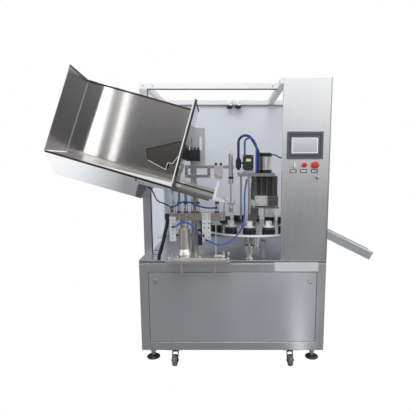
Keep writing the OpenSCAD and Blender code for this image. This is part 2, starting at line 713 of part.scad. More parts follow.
module press_cylinder() color("lightgray") place() translate([load_p[0], press_y, 0]) {
    difference() {
        union() {
            rod_z([0, 0, 1186], 30, 178);
            rod_z([0, 0, 1181], 34, 16);
            rod_z([0, 0, 1352], 34, 16);
            rod_z([0, 0, 1366], 7, 22);
        }
        rod_z([0, 0, 1180], 10 + 2 * run, press_travel + 40);
    }
    block([-14, 15 + fit, bar_z1 - 44], [14, post_back - 20 - bar_t - fit * 2 - press_y, bar_z1]);
}

module press_rod() color("silver") place() translate([load_p[0], press_y, 0]) {
    reach = load_p[1] - press_y;
    rod_z([0, 0, 1014], 10, 184);
    block([-7, reach, 1016], [7, 8, 1030]);
    translate([0, reach, 1000]) rotate_extrude() polygon([[0, 0], [11, 0], [15, 8], [15, 30], [9, 40], [0, 40]]);
}

foot_h = 19;

module fill_valve() color("black") place() {
    low = plate_z + foot_h + fit;
    difference() {
        block([63, 46, low], [128, 116, plate_z + 112]);
        block([80, 45, low + 51], [114, 48, low + 71]);
    }
    rod_x([54, 90, low + 43], 14, 10);
    rod_z([36, 90, low + 13], 35, 52);
    rod_z([36, 90, plate_z + 20], 22, 76);
}

module fill_nozzle() color("silver") place() {
    cyl_z = plate_z - 55;
    tip = cup_top + 46;
    block([76, 54, plate_z], [132, 104, plate_z + foot_h]);
    rod_z([fill_p[0], fill_p[1], cyl_z], cyl_d, plate_z + 1 - cyl_z);
    rod_x([80, fill_p[1], cyl_z + 12], elbow_d, fill_p[0] - cyl_d / 2 - fit - 80);
    translate([fill_p[0], fill_p[1], 0]) rotate_extrude()
        polygon([[0, tip], [4.5, tip], [7, tip + 8], [7, cyl_z - 43], [10, cyl_z - 37], [10, cyl_z + 1], [0, cyl_z + 1]]);
}

module seal_motor() color("silver") place() translate([seal_x, seal_y, plate_z]) {
    r = motor_d / 2;
    rotate_extrude() polygon([[0, 0], [r, 0], [r, 20], [r - 3, 22], [r - 3, 102], [r, 104], [r, 122],
        [r - 6, 126], [0, 126]]);
}

module seal_frame() color("dimgray") place() {
    low = 1037;
    block([143, 152, low], [288, 160, plate_z - plate_t - weld]);
    for (x = [146, 176, 214, 252]) block([x, 108, 1112], [x + 6, 152 - weld, plate_z - plate_t - weld]);
    block([145, 92, low + 5], [219, 152 - weld, 1105]);
    block([118, 104, low + 5], [145 - weld, 144, 1078]);
    difference() {
        block([219 + weld, 92, low], [287, 152 - weld, 1104]);
        for (z = [1052, 1068, 1084]) block([226, 90, z], [280, 100, z + 7]);
    }
    block([117, 60, low - 7], [290, 152, low - weld]);
    block([118, 104, 958], [165, 146, low - 7 - weld]);
}

// Sealing jaws with ribbed faces, hung under the seal frame
jaw_gap = 2;

module jaw(sign) {
    face = jaw_travel + jaw_gap / 2;
    translate([seal_p[0], seal_p[1], 0]) difference() {
        block([-29, min(sign * face, sign * (face + 14)), 976], [29, max(sign * face, sign * (face + 14)), 1030 - fit]);
        for (z = [984, 992, 1000])
            block([-30, sign * face - 1, z], [30, sign * face + 1, z + 3]);
    }
}

module jaw_front() color("white") place() jaw(-1);

module jaw_back() color("white") place() jaw(1);

// Lifter under the filling station
module lift_spindle() color("silver") place() translate([fill_p[0], fill_p[1], 0]) {
    rod_z([0, 0, frame_top + 4], 26, table_z + 40 - frame_top - 4);
    rod_z([0, 0, table_z + fit], 68, 8);
    rod_z([0, 0, table_z + 32], 68, 48);
    rod_z([0, 0, table_z + 8], 40, 26);
    rod_z([0, 0, table_z + 70], 20, disc_rise - disc_t - 70 - 45);
}

// Discharge chute with its foot
module discharge_chute() color("silver") {
    chute_place() {
        block([0, -chute_w / 2, 0], [chute_l, chute_w / 2, 2]);
        for (y = [-chute_w / 2, chute_w / 2 - 2]) block([0, y, 2 + weld], [chute_l, y + 2, chute_h]);
    }
    difference() {
        place() for (y = [chute_y - 40, chute_y + 32]) block([534, y, table_z], [572, y + 8, 900]);
        chute_place() block([-200, -200, -fit], [800, 200, 400]);
    }
}

// Hoses and cables
module hose_upper() color("royalblue") place() cord(upper_route, 10);

module hose_mid() color("royalblue") place() cord(mid_route, 10);

module hose_loop() color("royalblue") place() cord(loop_route, 10);

module hose_arch() color("midnightblue") place() cord(arch_route, 16);

module hose_valve() color("royalblue") place() cord(valve_route, 12);

module cable_motor() color("black") place() cord(motor_route, 8);

module cable_feeder() color("black") place() cord(feeder_route, 8);

module cable_bundle() color("black") place() cord(bundle_route, 22, 10);

// Tube turning cradle: half round trough that swings from lying to standing
module tube_cradle() color("silver") place() translate([load_p[0], load_p[1], cradle_z]) {
    wall = 3;
    outer = cradle_r + wall;
    start = -26;
    long = 150;
    difference() {
        union() {
            rod_y([0, start - long, 0], 2 * outer, long);
            block([cradle_r, start - long, 0], [outer, start, 16]);
            block([-outer, start - 8, -14], [-cradle_r, 14, 0]);
            rod_x([-outer, 0, 0], 28, wall);
        }
        rod_y([0, start - long - 1, 0], 2 * cradle_r, long + 2);
        block([-outer - 1, start - long - 1, 0], [cradle_r, start + 1, outer + 1]);
        rod_x([-outer - 1, 0, 0], 10 + 2 * run, wall + 2);
    }
}

// Front door: folded sheet that tilts out on its lower edge, with two turn latches
door_x = corner_x - door_gap;
door_z0 = cab_z0 + tube + door_gap;
door_z1 = frame_top - tube - fit - door_gap;
latch_x = door_x - 40;
latch_z = door_z1 - 58;
latch_stem = 14;

module front_door() color("silver") place() {
    difference() {
        block([-door_x, 0, door_z0], [door_x, door_fold, door_z1]);
        block([-door_x + sheet, sheet, door_z0 + sheet], [door_x - sheet, door_fold + 1, door_z1 - sheet]);
        for (x = [-latch_x, latch_x]) rod_y([x, -1, latch_z], latch_stem + 2 * run, sheet + 2);
        for (x = [-hinge_x, hinge_x]) block([x - 4, -1, door_z0 - 1], [x + 4, door_fold + 1, door_z0 + 12]);
    }
    for (x = [-hinge_x, hinge_x], e = [-9, 5])
        difference() {
            block([x + e, sheet - 0.5, door_z0 + sheet - 0.5], [x + e + 4, door_fold - 4, door_z0 + 12]);
            rod_x([x + e - 1, hinge_y, door_z0 + hinge_y], hinge_d + 2 * run, 6);
        }
}

module latch(x) {
    translate([x, 0, latch_z]) {
        rod_y([0, -5, 0], 30, 5 - fit);
        rod_y([0, -5, 0], latch_stem, 20);
        block([-9, sheet + fit, -9], [9, 14, 9]);
        block([-9, 11, -9], [9, 14, 34]);
        block([-9, -8, -2], [9, -4, 2]);
    }
}

module latch_left() color("gray") place() latch(-latch_x);

module latch_right() color("gray") place() latch(latch_x);

// Casters: fork that swivels on the plate's pin, and wheel on the fork's axle
wheel_r = wheel_d / 2;
axle_d = 10;
crown_t = 8;

module fork(x, y) {
    leg_t = 3;
    leg_x = wheel_w / 2 + 1.5;
    top = caster_top - 5 - fit;
    translate([x, y, 0]) {
        difference() {
            rod_z([0, 0, top - crown_t], 54, crown_t);
            rod_z([0, 0, top - crown_t - 1], 16 + 2 * run, crown_t + 2);
        }
        for (s = [-leg_x - leg_t, leg_x])
            translate([s, 0, 0]) rotate([90, 0, 90]) linear_extrude(leg_t) {
                polygon([[-19, top - 0.01], [19, top - 0.01], [12, top - 30], [-trail + 14, wheel_r - 4],
                    [-trail - 14, wheel_r + 2], [-24, top - 24]]);
                translate([-trail, wheel_r]) circle(d = 28);
            }
        block([-leg_x - 1, 10, top - 34], [leg_x + 1, 12.5, top - 1]);
        rod_x([-leg_x - leg_t - 4, -trail, wheel_r], 16, 4.5);
        rod_x([leg_x + leg_t - 0.5, -trail, wheel_r], 16, 4.5);
        rod_x([-leg_x - leg_t, -trail, wheel_r], axle_d, 2 * (leg_x + leg_t));
    }
}

module wheel(x, y) {
    r0 = axle_d / 2 + run;
    w = wheel_w / 2;
    translate([x, y - trail, wheel_r]) rotate([0, 90, 0]) rotate_extrude($fn = 64)
        polygon([[r0, -w - 1], [r0 + 6, -w - 1], [r0 + 7, -w + 4], [wheel_r - 12, -w + 4], [wheel_r - 11, -w],
            [wheel_r - 4, -w], [wheel_r, -w + 5], [wheel_r, w - 5], [wheel_r - 4, w], [wheel_r - 11, w],
            [wheel_r - 12, w - 4], [r0 + 7, w - 4], [r0 + 6, w + 1], [r0, w + 1]]);
}

caster_back = cab_d - caster_y;

module caster_fork_fl() color("dimgray") place() fork(-caster_x, caster_y);

module caster_fork_fr() color("dimgray") place() fork(caster_x, caster_y);

module caster_fork_bl() color("dimgray") place() fork(-caster_x, caster_back);

module caster_fork_br() color("dimgray") place() fork(caster_x, caster_back);

module caster_wheel_fl() color("gray") place() wheel(-caster_x, caster_y);

module caster_wheel_fr() color("gray") place() wheel(caster_x, caster_y);

module caster_wheel_bl() color("gray") place() wheel(-caster_x, caster_back);

module caster_wheel_br() color("gray") place() wheel(caster_x, caster_back);

// Levelling feet: round pad on a threaded stem, wound up clear of the floor
module foot(x, y) {
    r = pad_d / 2;
    translate([x, y, pad_lift]) {
        rotate_extrude() polygon([[0, 0], [r - 2, 0], [r, 2], [r, 8], [r - 5, 12], [0, 12]]);
        rod_z([0, 0, 11], foot_bolt, cab_z0 + 46 - pad_lift - 11);
        translate([0, 0, 22]) cylinder(d = 27, h = 12, $fn = 6);
    }
}

module foot_fl() color("dimgray") place() foot(-foot_x, foot_y);

module foot_fr() color("dimgray") place() foot(foot_x, foot_y);

module foot_bl() color("dimgray") place() foot(-foot_x, cab_d - foot_y);

module foot_br() color("dimgray") place() foot(foot_x, cab_d - foot_y);

base_frame();
table_plate();
cabinet_panels();
guard_frame();
rear_guard_panel();
control_column();
operator_panel();
switch_collars();
bin_walls();
bin_front_panel();
bin_floor();
stand_base_plate();
stand_pillar();
bin_arm();
loader_frame();
valve_manifold();
bracket_plates();
index_drive();
station_tower();
press_cylinder();
fill_valve();
fill_nozzle();
seal_motor();
seal_frame();
discharge_chute();
hose_upper();
hose_mid();
hose_loop();
hose_arch();
hose_valve();
cable_motor();
cable_feeder();
cable_bundle();
turntable_disc();
tube_holders();
holder_cups();
tube_cradle();
press_rod();
jaw_front();
jaw_back();
lift_spindle();
front_door();
latch_left();
latch_right();
estop_head();
stop_button();
selector_knob();
column_key();
caster_fork_fl();
caster_fork_fr();
caster_fork_bl();
caster_fork_br();
caster_wheel_fl();
caster_wheel_fr();
caster_wheel_bl();
caster_wheel_br();
foot_fl();
foot_fr();
foot_bl();
foot_br();
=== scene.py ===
import math

import bmesh
import bpy
from mathutils import Matrix, Quaternion, Vector


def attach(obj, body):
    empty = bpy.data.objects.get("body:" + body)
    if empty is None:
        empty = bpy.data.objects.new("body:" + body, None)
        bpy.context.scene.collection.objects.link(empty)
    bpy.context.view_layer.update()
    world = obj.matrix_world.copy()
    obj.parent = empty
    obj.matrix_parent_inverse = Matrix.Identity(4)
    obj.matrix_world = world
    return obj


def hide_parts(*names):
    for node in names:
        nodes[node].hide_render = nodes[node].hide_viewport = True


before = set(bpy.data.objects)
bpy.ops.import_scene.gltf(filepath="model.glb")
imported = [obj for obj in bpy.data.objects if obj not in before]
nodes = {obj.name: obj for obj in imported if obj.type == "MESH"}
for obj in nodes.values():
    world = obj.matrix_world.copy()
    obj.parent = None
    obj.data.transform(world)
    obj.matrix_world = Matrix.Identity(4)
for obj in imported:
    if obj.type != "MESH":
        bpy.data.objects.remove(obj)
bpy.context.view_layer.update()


# Base frame: square stainless tube, welded and ground flush, then brushed along its length.
# It carries the caster plates, the foot bosses and the hinge pins of the door.
centre_x, centre_y = -47.849, 380.5


def at(x, y, z):
    """Metres from the box's middle, for millimetres from the middle of the cabinet's front."""
    return Vector((x - centre_x, y - centre_y, z)) / 1000


class Wire:
    """A value in a material: sums on it add Math nodes, and node() adds any other node."""

    def __init__(self, tree, socket=None):
        self.tree = tree
        self.socket = socket

    def node(self, kind, settings=(), inputs=(), output=0):
        made = self.tree.nodes.new(kind)
        for key, value in dict(settings).items():
            if key == "stops":
                stops = made.color_ramp.elements
                while len(stops) < len(value):
                    stops.new(0.5)
                for stop, (place, shade) in zip(stops, value):
                    stop.position = place
                    stop.color = (shade, shade, shade, 1)
            else:
                setattr(made, key, value)
        for key, value in dict(inputs).items():
            if isinstance(value, Wire):
                self.tree.links.new(value.socket, made.inputs[key])
            else:
                made.inputs[key].default_value = value
        return Wire(self.tree, made.outputs[output])

    def sum(self, operation, first, second):
        return self.node("ShaderNodeMath", {"operation": operation}, {0: first, 1: second})

    def __add__(self, other):
        return self.sum("ADD", self, other)

    __radd__ = __add__

    def __mul__(self, other):
        return self.sum("MULTIPLY", self, other)

    __rmul__ = __mul__

    def __sub__(self, other):
        return self.sum("SUBTRACT", self, other)

    def __rsub__(self, other):
        return self.sum("SUBTRACT", other, self)

    def __mod__(self, other):
        return self.sum("FLOORED_MODULO", self, other)

    def __gt__(self, other):
        return self.sum("GREATER_THAN", self, other)

    def __lt__(self, other):
        return self.sum("LESS_THAN", self, other)

    def __abs__(self):
        return self.sum("ABSOLUTE", self, 0)

    def clamped(self):
        """The value held between 0 and 1."""
        return self.sum("MINIMUM", self.sum("MAXIMUM", self, 0), 1)


def new_finish(name, colour, rough, metal=0.0):
    material = bpy.data.materials.new(name)
    material.use_nodes = True
    surface = material.node_tree.nodes["Principled BSDF"]
    surface.inputs["Base Color"].default_value = (*colour, 1)
    surface.inputs["Roughness"].default_value = rough
    surface.inputs["Metallic"].default_value = metal
    place = Wire(material.node_tree).node("ShaderNodeTexCoord", output="Object")
    return material, surface, place


def along(place, axis):
    return place.node("ShaderNodeSeparateXYZ", inputs={0: place}, output="XYZ".index(axis))


def within(value, low, high):
    return (value > low) * (value < high)


def feed(surface, socket, wire):
    surface.id_data.links.new(wire.socket, surface.inputs[socket])


def stretch(place, lines_per_metre):
    return place.node("ShaderNodeVectorMath", {"operation": "MULTIPLY"}, {0: place, 1: lines_per_metre})


def noise(vector, scale, detail):
    return vector.node("ShaderNodeTexNoise", inputs={"Vector": vector, "Scale": scale, "Detail": detail})


def blend(factor, under, over):
    """One colour over another, each a colour or a wire; a Mix node takes colours at its inputs 6 and 7."""
    shades = {6 + k: c if isinstance(c, Wire) else (*c, 1) for k, c in enumerate((under, over))}
    return factor.node("ShaderNodeMix", {"data_type": "RGBA"}, {0: factor, **shades}, 2)


def relief(surface, height, strength, distance, round_edges):
    """Bump on top of softly rounded edges."""
    edge = height.node("ShaderNodeBevel", {"samples": 6}, {"Radius": round_edges})
    bump = {"Height": height, "Strength": strength, "Distance": distance, "Normal": edge}
    feed(surface, "Normal", height.node("ShaderNodeBump", inputs=bump))


def brushed_steel(name, colour, lines_per_metre, rough=0.3, contrast=0.1, round_edges=0.0015,
                  upright_glare=0.0, grain=0.06):
    material, surface, place = new_finish(name, colour, rough, 1.0)
    surface.inputs["Anisotropic"].default_value = upright_glare
    surface.inputs["Anisotropic Rotation"].default_value = 0.25
    lines = noise(stretch(place, lines_per_metre), 1.0, 4.0)
    clouds = noise(place, 3.5, 3.0)
    dark = [c * (1 - contrast) for c in colour]
    light = [min(1, c * (1 + contrast)) for c in colour]
    feed(surface, "Base Color", blend(lines * 0.6 + clouds * 0.4, dark, light))
    feed(surface, "Roughness", lines * 0.16 + clouds * 0.1 + (rough - 0.13))
    relief(surface, lines, grain, 0.0004, round_edges)
    return material


def wear(node, material):
    for slot in nodes[node].material_slots:
        slot.material = material


frame_steel = brushed_steel("brushed_frame_steel", (0.68, 0.69, 0.71), (700, 700, 5), 0.32, 0.07, 0.005, 0.5)
wear("base_frame", frame_steel)


# Bare pale strip stuck on the top rail of the frame, to the right of the stand.
# It is a thin glossy film with softened edges and carries no print.
def add_block(shape, low, high):
    middle, size = (low + high) / 2, high - low
    bmesh.ops.create_cube(shape, size=1, matrix=Matrix.Translation(middle) @ Matrix.Diagonal((*size, 1)))


def soften(shape, width):
    bmesh.ops.bevel(shape, geom=shape.edges[:], offset=width, segments=2, profile=0.5, affect="EDGES",
                    material=-1)


def new_piece(name, shape, material, body="machine"):
    bmesh.ops.recalc_face_normals(shape, faces=shape.faces[:])
    mesh = bpy.data.meshes.new(name)
    shape.to_mesh(mesh)
    shape.free()
    mesh.materials.append(material)
    piece = bpy.data.objects.new(name, mesh)
    bpy.context.scene.collection.objects.link(piece)
    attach(piece, body)


def lacquer(name, colour, rough, round_edges=0.0015, tint=0.06):
    material, surface, place = new_finish(name, colour, rough)
    peel = noise(place, 260, 2.0)
    patches = noise(place, 2.2, 3.0)
    feed(surface, "Base Color", blend(patches, [c * (1 - tint) for c in colour], colour))
    feed(surface, "Roughness", peel * 0.1 + (rough - 0.05))
    relief(surface, peel, 0.05, 0.0004, round_edges)
    return material


strip = bmesh.new()
add_block(strip, at(262, -1.0, 642), at(534, -0.1, 700))
soften(strip, 0.0003)
strip_film = lacquer("pale_strip_film", (0.66, 0.67, 0.69), 0.22, 0.0004, 0.08)
new_piece("pale_strip", strip, strip_film)


# Cabinet sheets and the wide front door: stainless sheet brushed in one direction, so lights smear upright.
# The door is a folded pan that tilts out on two pins at its lower edge and is shut by two turn latches.
sheet_steel = brushed_steel("brushed_sheet_steel", (0.6, 0.615, 0.645), (3, 3, 900), 0.36, 0.05, 0.0015, 0.8)
wear("cabinet_panels", sheet_steel)
wear("front_door", sheet_steel)
latch_steel = brushed_steel("turned_latch_steel", (0.7, 0.7, 0.71), (60, 900, 60), 0.2, 0.08, 0.0008)
wear("latch_left", latch_steel)
wear("latch_right", latch_steel)


def add_screw(shape, spot, way, width, height):
    """Screw head standing on spot along way, with a round socket in its top."""
    turn = Vector(way).to_track_quat("Z", "Y").to_matrix().to_4x4()
    middle = spot + Vector(way) * height / 2
    made = bmesh.ops.create_cone(shape, cap_ends=True, segments=20, radius1=width / 2,
                                 radius2=width / 2 * 0.94, depth=height,
                                 matrix=Matrix.Translation(middle) @ turn)
    faces = {face for vert in made["verts"] for face in vert.link_faces}
    top = max(faces, key=lambda face: face.calc_center_median().dot(Vector(way)))
    bmesh.ops.inset_individual(shape, faces=[top], thickness=width / 4, depth=-height / 2)


screw_steel = brushed_steel("plated_screw_steel", (0.55, 0.55, 0.56), (300, 300, 300), 0.28, 0.1, 0.0004)
cabinet_half, cabinet_depth = 583, 896
screws = bmesh.new()
for z in (196, 612):
    for side in (-1, 1):
        for y in (90, 448, 806):
            add_screw(screws, at(side * cabinet_half, y, z), (side, 0, 0), 0.012, 0.0006)
    for x in (-480, -160, 160, 480):
        add_screw(screws, at(x, cabinet_depth, z), (0, 1, 0), 0.012, 0.004)
new_piece("panel_screws", screws, screw_steel)


# Casters and levelling feet: black coated pressed forks, grey rubber treads on moulded hubs,
# and black moulded pads on threaded stems.
def satin_black(name, colour, rough, grain, depth=0.15, round_edges=0.001):
    material, surface, place = new_finish(name, colour, rough)
    pits = noise(place, grain, 3.0)
    dust = noise(place, 18.0, 4.0)
    feed(surface, "Base Color", blend(dust, colour, [c * 1.6 + 0.006 for c in colour]))
    feed(surface, "Roughness", dust * 0.2 + (rough - 0.1))
    relief(surface, pits, depth, 0.0003, round_edges)
    return material


fork_black = satin_black("black_coated_fork", (0.018, 0.019, 0.021), 0.36, 700)
caster_trail, axle_height, hub_radius = 36, 37.5, 0.0335


def wheel_finish(corner, x, y):
    """Grey worn tread on a black moulded hub, told apart by the distance from the axle."""
    material, surface, place = new_finish("caster_wheel_" + corner, (0.05, 0.052, 0.056), 0.55)
    axle = at(x, y - caster_trail, axle_height)
    off_axle = place.node("ShaderNodeVectorMath", {"operation": "SUBTRACT"}, {0: place, 1: axle})
    radius = place.node("ShaderNodeVectorMath", {"operation": "LENGTH"}, {0: stretch(off_axle, (0, 1, 1))}, 1)
    worn = noise(place, 60, 4.0)
    tread = radius > hub_radius
    dusty = tread * (0.55 + worn * 0.45)
    feed(surface, "Base Color", blend(dusty, (0.014, 0.015, 0.017), (0.16, 0.165, 0.175)))
    feed(surface, "Roughness", worn * 0.2 + 0.38 + tread * 0.12)
    relief(surface, noise(place, 380, 3.0), 0.15, 0.0003, 0.001)
    return material


pad_black, surface, place = new_finish("moulded_pad_and_stem", (0.02, 0.021, 0.023), 0.4)
pad_top, threads_per_metre = 0.0735, 500
height = along(place, "Z")
stem = height > pad_top
grain = noise(place, 500, 3.0)
thread = (height * threads_per_metre) % 1.0
feed(surface, "Base Color", blend(stem, (0.016, 0.017, 0.019), (0.5, 0.5, 0.51)))
feed(surface, "Metallic", stem)
feed(surface, "Roughness", grain * 0.12 + 0.28)
relief(surface, thread * stem + grain * 0.1, 0.5, 0.0008, 0.001)
for corner, x, y in (("fl", -376, 62), ("fr", 376, 62), ("bl", -376, 834), ("br", 376, 834)):
    wear("caster_fork_" + corner, fork_black)
    wear("caster_wheel_" + corner, wheel_finish(corner, x, y))
    wear("foot_" + corner, pad_black)


# Table: thick ground steel plate over the whole cabinet, drilled for the hub and the lifter.
# Its grinding lines run from left to right, and its edges are well rounded.
table_steel = brushed_steel("ground_table_steel", (0.5, 0.51, 0.53), (6, 700, 700), 0.3, 0.08, 0.003)
wear("table_plate", table_steel)


# Guard: steel posts under white coated rails, with pale sheets closing the back and the left side.
# Two lamp bells with black rims hang from the back rail, and black rubber strips run inside the front post,
# under the rails and along the foot of the rear sheet: partly seals, partly painted shade in these corners.
guard_metal, surface, place = new_finish("steel_posts_white_rails", (0.6, 0.61, 0.63), 0.36, 1.0)
satin = noise(place, 320, 3.0)
depth, height = along(place, "Y"), along(place, "Z")
rail_foot, bell_mouth = 1.7665, 1.7585
rim = within(depth, 0.42, 0.4755) * (height < bell_mouth)
rail = height > rail_foot
left_side = (along(place, "X") < -0.4) * (height < rail_foot)
glowing_side_sheet = within(depth, at(0, 206.2, 0).y, at(0, 855.8, 0).y) * left_side
coated = blend(rail, (0.6, 0.61, 0.63), (0.86, 0.865, 0.88))
coated = blend(glowing_side_sheet, coated, (0.74, 0.77, 0.83))
feed(surface, "Base Color", blend(rim, coated, (0.012, 0.012, 0.013)))
feed(surface, "Metallic", (1 - rim) * (1 - rail) * (1 - glowing_side_sheet))
# Painted light: the left side sheet glows faintly, standing in for studio light shining through it.
feed(surface, "Emission Color", blend(glowing_side_sheet, (0, 0, 0), (0.3, 0.32, 0.36)))
surface.inputs["Emission Strength"].default_value = 1.0
feed(surface, "Roughness", satin * 0.1 + 0.31)
relief(surface, satin, 0.04, 0.0003, 0.003)
wear("guard_frame", guard_metal)
rear_sheet = lacquer("pale_rear_sheet", (0.76, 0.785, 0.84), 0.35)
wear("rear_guard_panel", rear_sheet)
seal_rubber = satin_black("black_edge_rubber", (0.008, 0.008, 0.009), 0.5, 400)
# These black strips are partly seals and partly painted shade inside the post and at the joints.
seal_and_shade_strips = bmesh.new()
add_block(seal_and_shade_strips, at(-533.4, 167, 713), at(-527, 171, 1766))
add_block(seal_and_shade_strips, at(-532, 164.5, 1762), at(279, 168, 1767.4))
add_block(seal_and_shade_strips, at(-532, 853.5, 1763), at(530, 856.4, 1767.4))
add_block(seal_and_shade_strips, at(-528, 868, 712.3), at(528, 874, 722))
new_piece("guard_seal_and_shade_strips", seal_and_shade_strips, seal_rubber)
corner_screws = bmesh.new()
for x in (-558, -500, 250):
    add_screw(corner_screws, at(x, 166, 1785), (0, -1, 0), 0.011, 0.003)
for z in (760, 1240, 1720):
    for x in (-520, 520):
        add_screw(corner_screws, at(x, 874.5, z), (0, -1, 0), 0.012, 0.003)
new_piece("guard_screws", corner_screws, screw_steel)


# Control column: folded stainless sheet with the operator panel, three switches and a key lock.
# Its right-hand fold turns away from the lights, and painted shade makes it darker than the front.
column_steel = brushed_steel("brushed_column_steel", (0.72, 0.725, 0.74), (900, 900, 3), 0.3, 0.03, 0.006,
                             grain=0.015)
surface = column_steel.node_tree.nodes["Principled BSDF"]
place = Wire(column_steel.node_tree).node("ShaderNodeTexCoord", output="Object")
# Painted shade: the right-hand fold is coloured darker than the brushed front.
shaded_fold = along(place, "X") > at(575, 0, 0).x
brushed = Wire(column_steel.node_tree, surface.inputs["Base Color"].links[0].from_socket)
feed(surface, "Base Color", blend(shaded_fold, brushed, (0.42, 0.425, 0.435)))
wear("control_column", column_steel)

panel, surface, place = new_finish("slate_panel_and_screen", (0.09, 0.12, 0.17), 0.4)
width, height = along(place, "X"), along(place, "Z")
panel_middle = at(431, 0, 1414)
screen_x = panel_middle.x - 0.002
across = abs(width - panel_middle.x)
up = abs(height - panel_middle.z)
off_screen = abs(width - screen_x)
screen = (off_screen < 0.0792) * (up < 0.0464)
screen_rim = screen * (1 - (off_screen < 0.072) * (up < 0.0395))
groove = (across < 0.0935) * (up < 0.0665) * (1 - (across < 0.0865) * (up < 0.0585))
grain = noise(place, 900, 3.0)
fade = (height - (panel_middle.z - 0.05)) * 9.0
film = blend(fade, (0.42, 0.44, 0.49), (0.68, 0.69, 0.72))
film = blend(screen_rim, film, (0.86, 0.87, 0.89))
shell = blend(groove, (0.085, 0.1, 0.125), (0.03, 0.037, 0.048))
feed(surface, "Base Color", blend(screen, shell, film))
feed(surface, "Roughness", 0.44 - screen * 0.3 + grain * 0.06)
feed(surface, "Coat Weight", screen * 0.6)
relief(surface, grain * 0.12 - groove, 0.35, 0.0008, 0.0025)
wear("operator_panel", panel)

rings, surface, place = new_finish("polished_rings_and_legends", (0.75, 0.75, 0.76), 0.16, 1.0)
height, width = along(place, "Z"), along(place, "X")
selector_x, legend_z, half_pitch = at(363, 0, 0).x, 1.263, 0.032
legend = within(height, legend_z - 0.0125, legend_z + 0.0125)
local = (width - (selector_x - half_pitch)) % (2 * half_pitch) - half_pitch
frame_line = (abs(local) > 0.0155) + (abs(height - legend_z) > 0.007)
plate = blend(frame_line > 0.5, (0.55, 0.56, 0.58), (0.01, 0.01, 0.012))
feed(surface, "Base Color", blend(legend, (0.78, 0.78, 0.79), plate))
feed(surface, "Metallic", 1 - legend)
feed(surface, "Roughness", noise(place, 300, 2.0) * 0.1 + 0.12 + legend * 0.2)
wear("switch_collars", rings)
key_chrome = brushed_steel("polished_key", (0.75, 0.75, 0.76), (60, 900, 60), 0.16, 0.05, 0.0006)
wear("column_key", key_chrome)


def gloss_moulding(name, colour, rough=0.22):
    material, surface, place = new_finish(name, colour, rough)
    flow = noise(place, 40, 2.0)
    feed(surface, "Base Color", blend(flow, [c * 0.85 for c in colour], colour))
    feed(surface, "Roughness", flow * 0.12 + (rough - 0.06))
    relief(surface, noise(place, 500, 2.0), 0.03, 0.0003, 0.0012)
    surface.inputs["Coat Weight"].default_value = 0.3
    return material


signal_red = gloss_moulding("signal_red_moulding", (0.62, 0.012, 0.012))
wear("estop_head", gloss_moulding("emergency_red_moulding", (0.66, 0.03, 0.02), 0.34))
wear("stop_button", signal_red)
knob, surface, place = new_finish("pale_knob_dark_line", (0.88, 0.88, 0.89), 0.2)
knob_front, half_line = -0.3888, 0.0016
line = (along(place, "Y") < knob_front) * (abs(along(place, "X") - selector_x) < half_line)
feed(surface, "Base Color", blend(line, (0.88, 0.88, 0.89), (0.012, 0.012, 0.013)))
feed(surface, "Roughness", noise(place, 300, 2.0) * 0.1 + 0.16 + line * 0.18)
wear("selector_knob", knob)
column_screws = bmesh.new()
for x, z in ((546, 1532), (560, 1236), (318, 1532), (318, 1236)):
    add_screw(column_screws, at(x, 0, z), (0, -1, 0), 0.009, 0.0025)
new_piece("column_screws", column_screws, screw_steel)


# Indexing drive under the table: cast housing, gearbox and flange motor.
# It is out of sight behind the door, so one plain grey coat covers it all.
drive_coat = lacquer("grey_drive_coat", (0.09, 0.1, 0.11), 0.45)
wear("index_drive", drive_coat)


# Turntable: turned light alloy disc whose rim is painted white as a highlight, black acetal holders and white
# acetal cups.
# Six screws hold the upper collar to the disc.
disc_alloy, surface, place = new_finish("turned_disc_painted_rim_highlight", (0.5, 0.505, 0.52), 0.24, 1.0)
# Painted highlight: the disc's rim faces are coloured white and not metallic.
rim = within(along(place, "Z"), 0.853, 0.8648)
turning = noise(place, 140, 3.0)
feed(surface, "Base Color", blend(rim, (0.46, 0.465, 0.48), (0.9, 0.905, 0.92)))
feed(surface, "Metallic", 1 - rim)
feed(surface, "Roughness", turning * 0.12 + 0.2)
relief(surface, turning, 0.03, 0.0003, 0.001)
wear("turntable_disc", disc_alloy)
holder_black = satin_black("black_acetal_holder", (0.006, 0.006, 0.007), 0.28, 500, 0.1, 0.002)
wear("tube_holders", holder_black)
cup_white = lacquer("white_acetal_cup", (0.8, 0.81, 0.82), 0.32, 0.0018)
wear("holder_cups", cup_white)


def around(x, y, z, radius, degrees):
    turn = math.radians(degrees)
    return at(x + radius * math.cos(turn), y + radius * math.sin(turn), z)


disc_x, disc_y, collar_top, screw_circle = 139, 391, 880.2, 57
collar_screws = bmesh.new()
for k in range(6):
    spot = around(disc_x, disc_y, collar_top, screw_circle, 60 * k + 15)
    add_screw(collar_screws, spot, (0, 0, 1), 0.013, 0.008)
new_piece("collar_screws", collar_screws, screw_steel, "turntable")


# Stand: ground two-step base plate, turned pillar and a brown-grey coated arm that carries the bin.
# Socket screws hold the base plate to the table and the arm to the pillar.
base_steel = brushed_steel("ground_base_plate", (0.56, 0.54, 0.51), (6, 700, 700), 0.42, 0.08, 0.002)
wear("stand_base_plate", base_steel)
turned_steel = brushed_steel("turned_steel", (0.5, 0.485, 0.47), (4, 4, 1100), 0.36, 0.12, 0.0015)
pillar_steel = brushed_steel("turned_pillar_steel", (0.64, 0.605, 0.57), (4, 4, 900), 0.38, 0.14, 0.002)
wear("stand_pillar", pillar_steel)
wear("bin_arm", brushed_steel("brown_grey_arm", (0.4, 0.365, 0.335), (5, 500, 500), 0.42, 0.12, 0.002))
stand_screws = bmesh.new()
for x in (-384, -26):
    for y in (-66, 88):
        add_screw(stand_screws, at(x, y, 730.9), (0, 0, 1), 0.018, 0.012)
for x in (-338, -200, -56):
    for y in (-42, 80):
        add_screw(stand_screws, at(x, y, 739), (0, 0, 1), 0.014, 0.009)
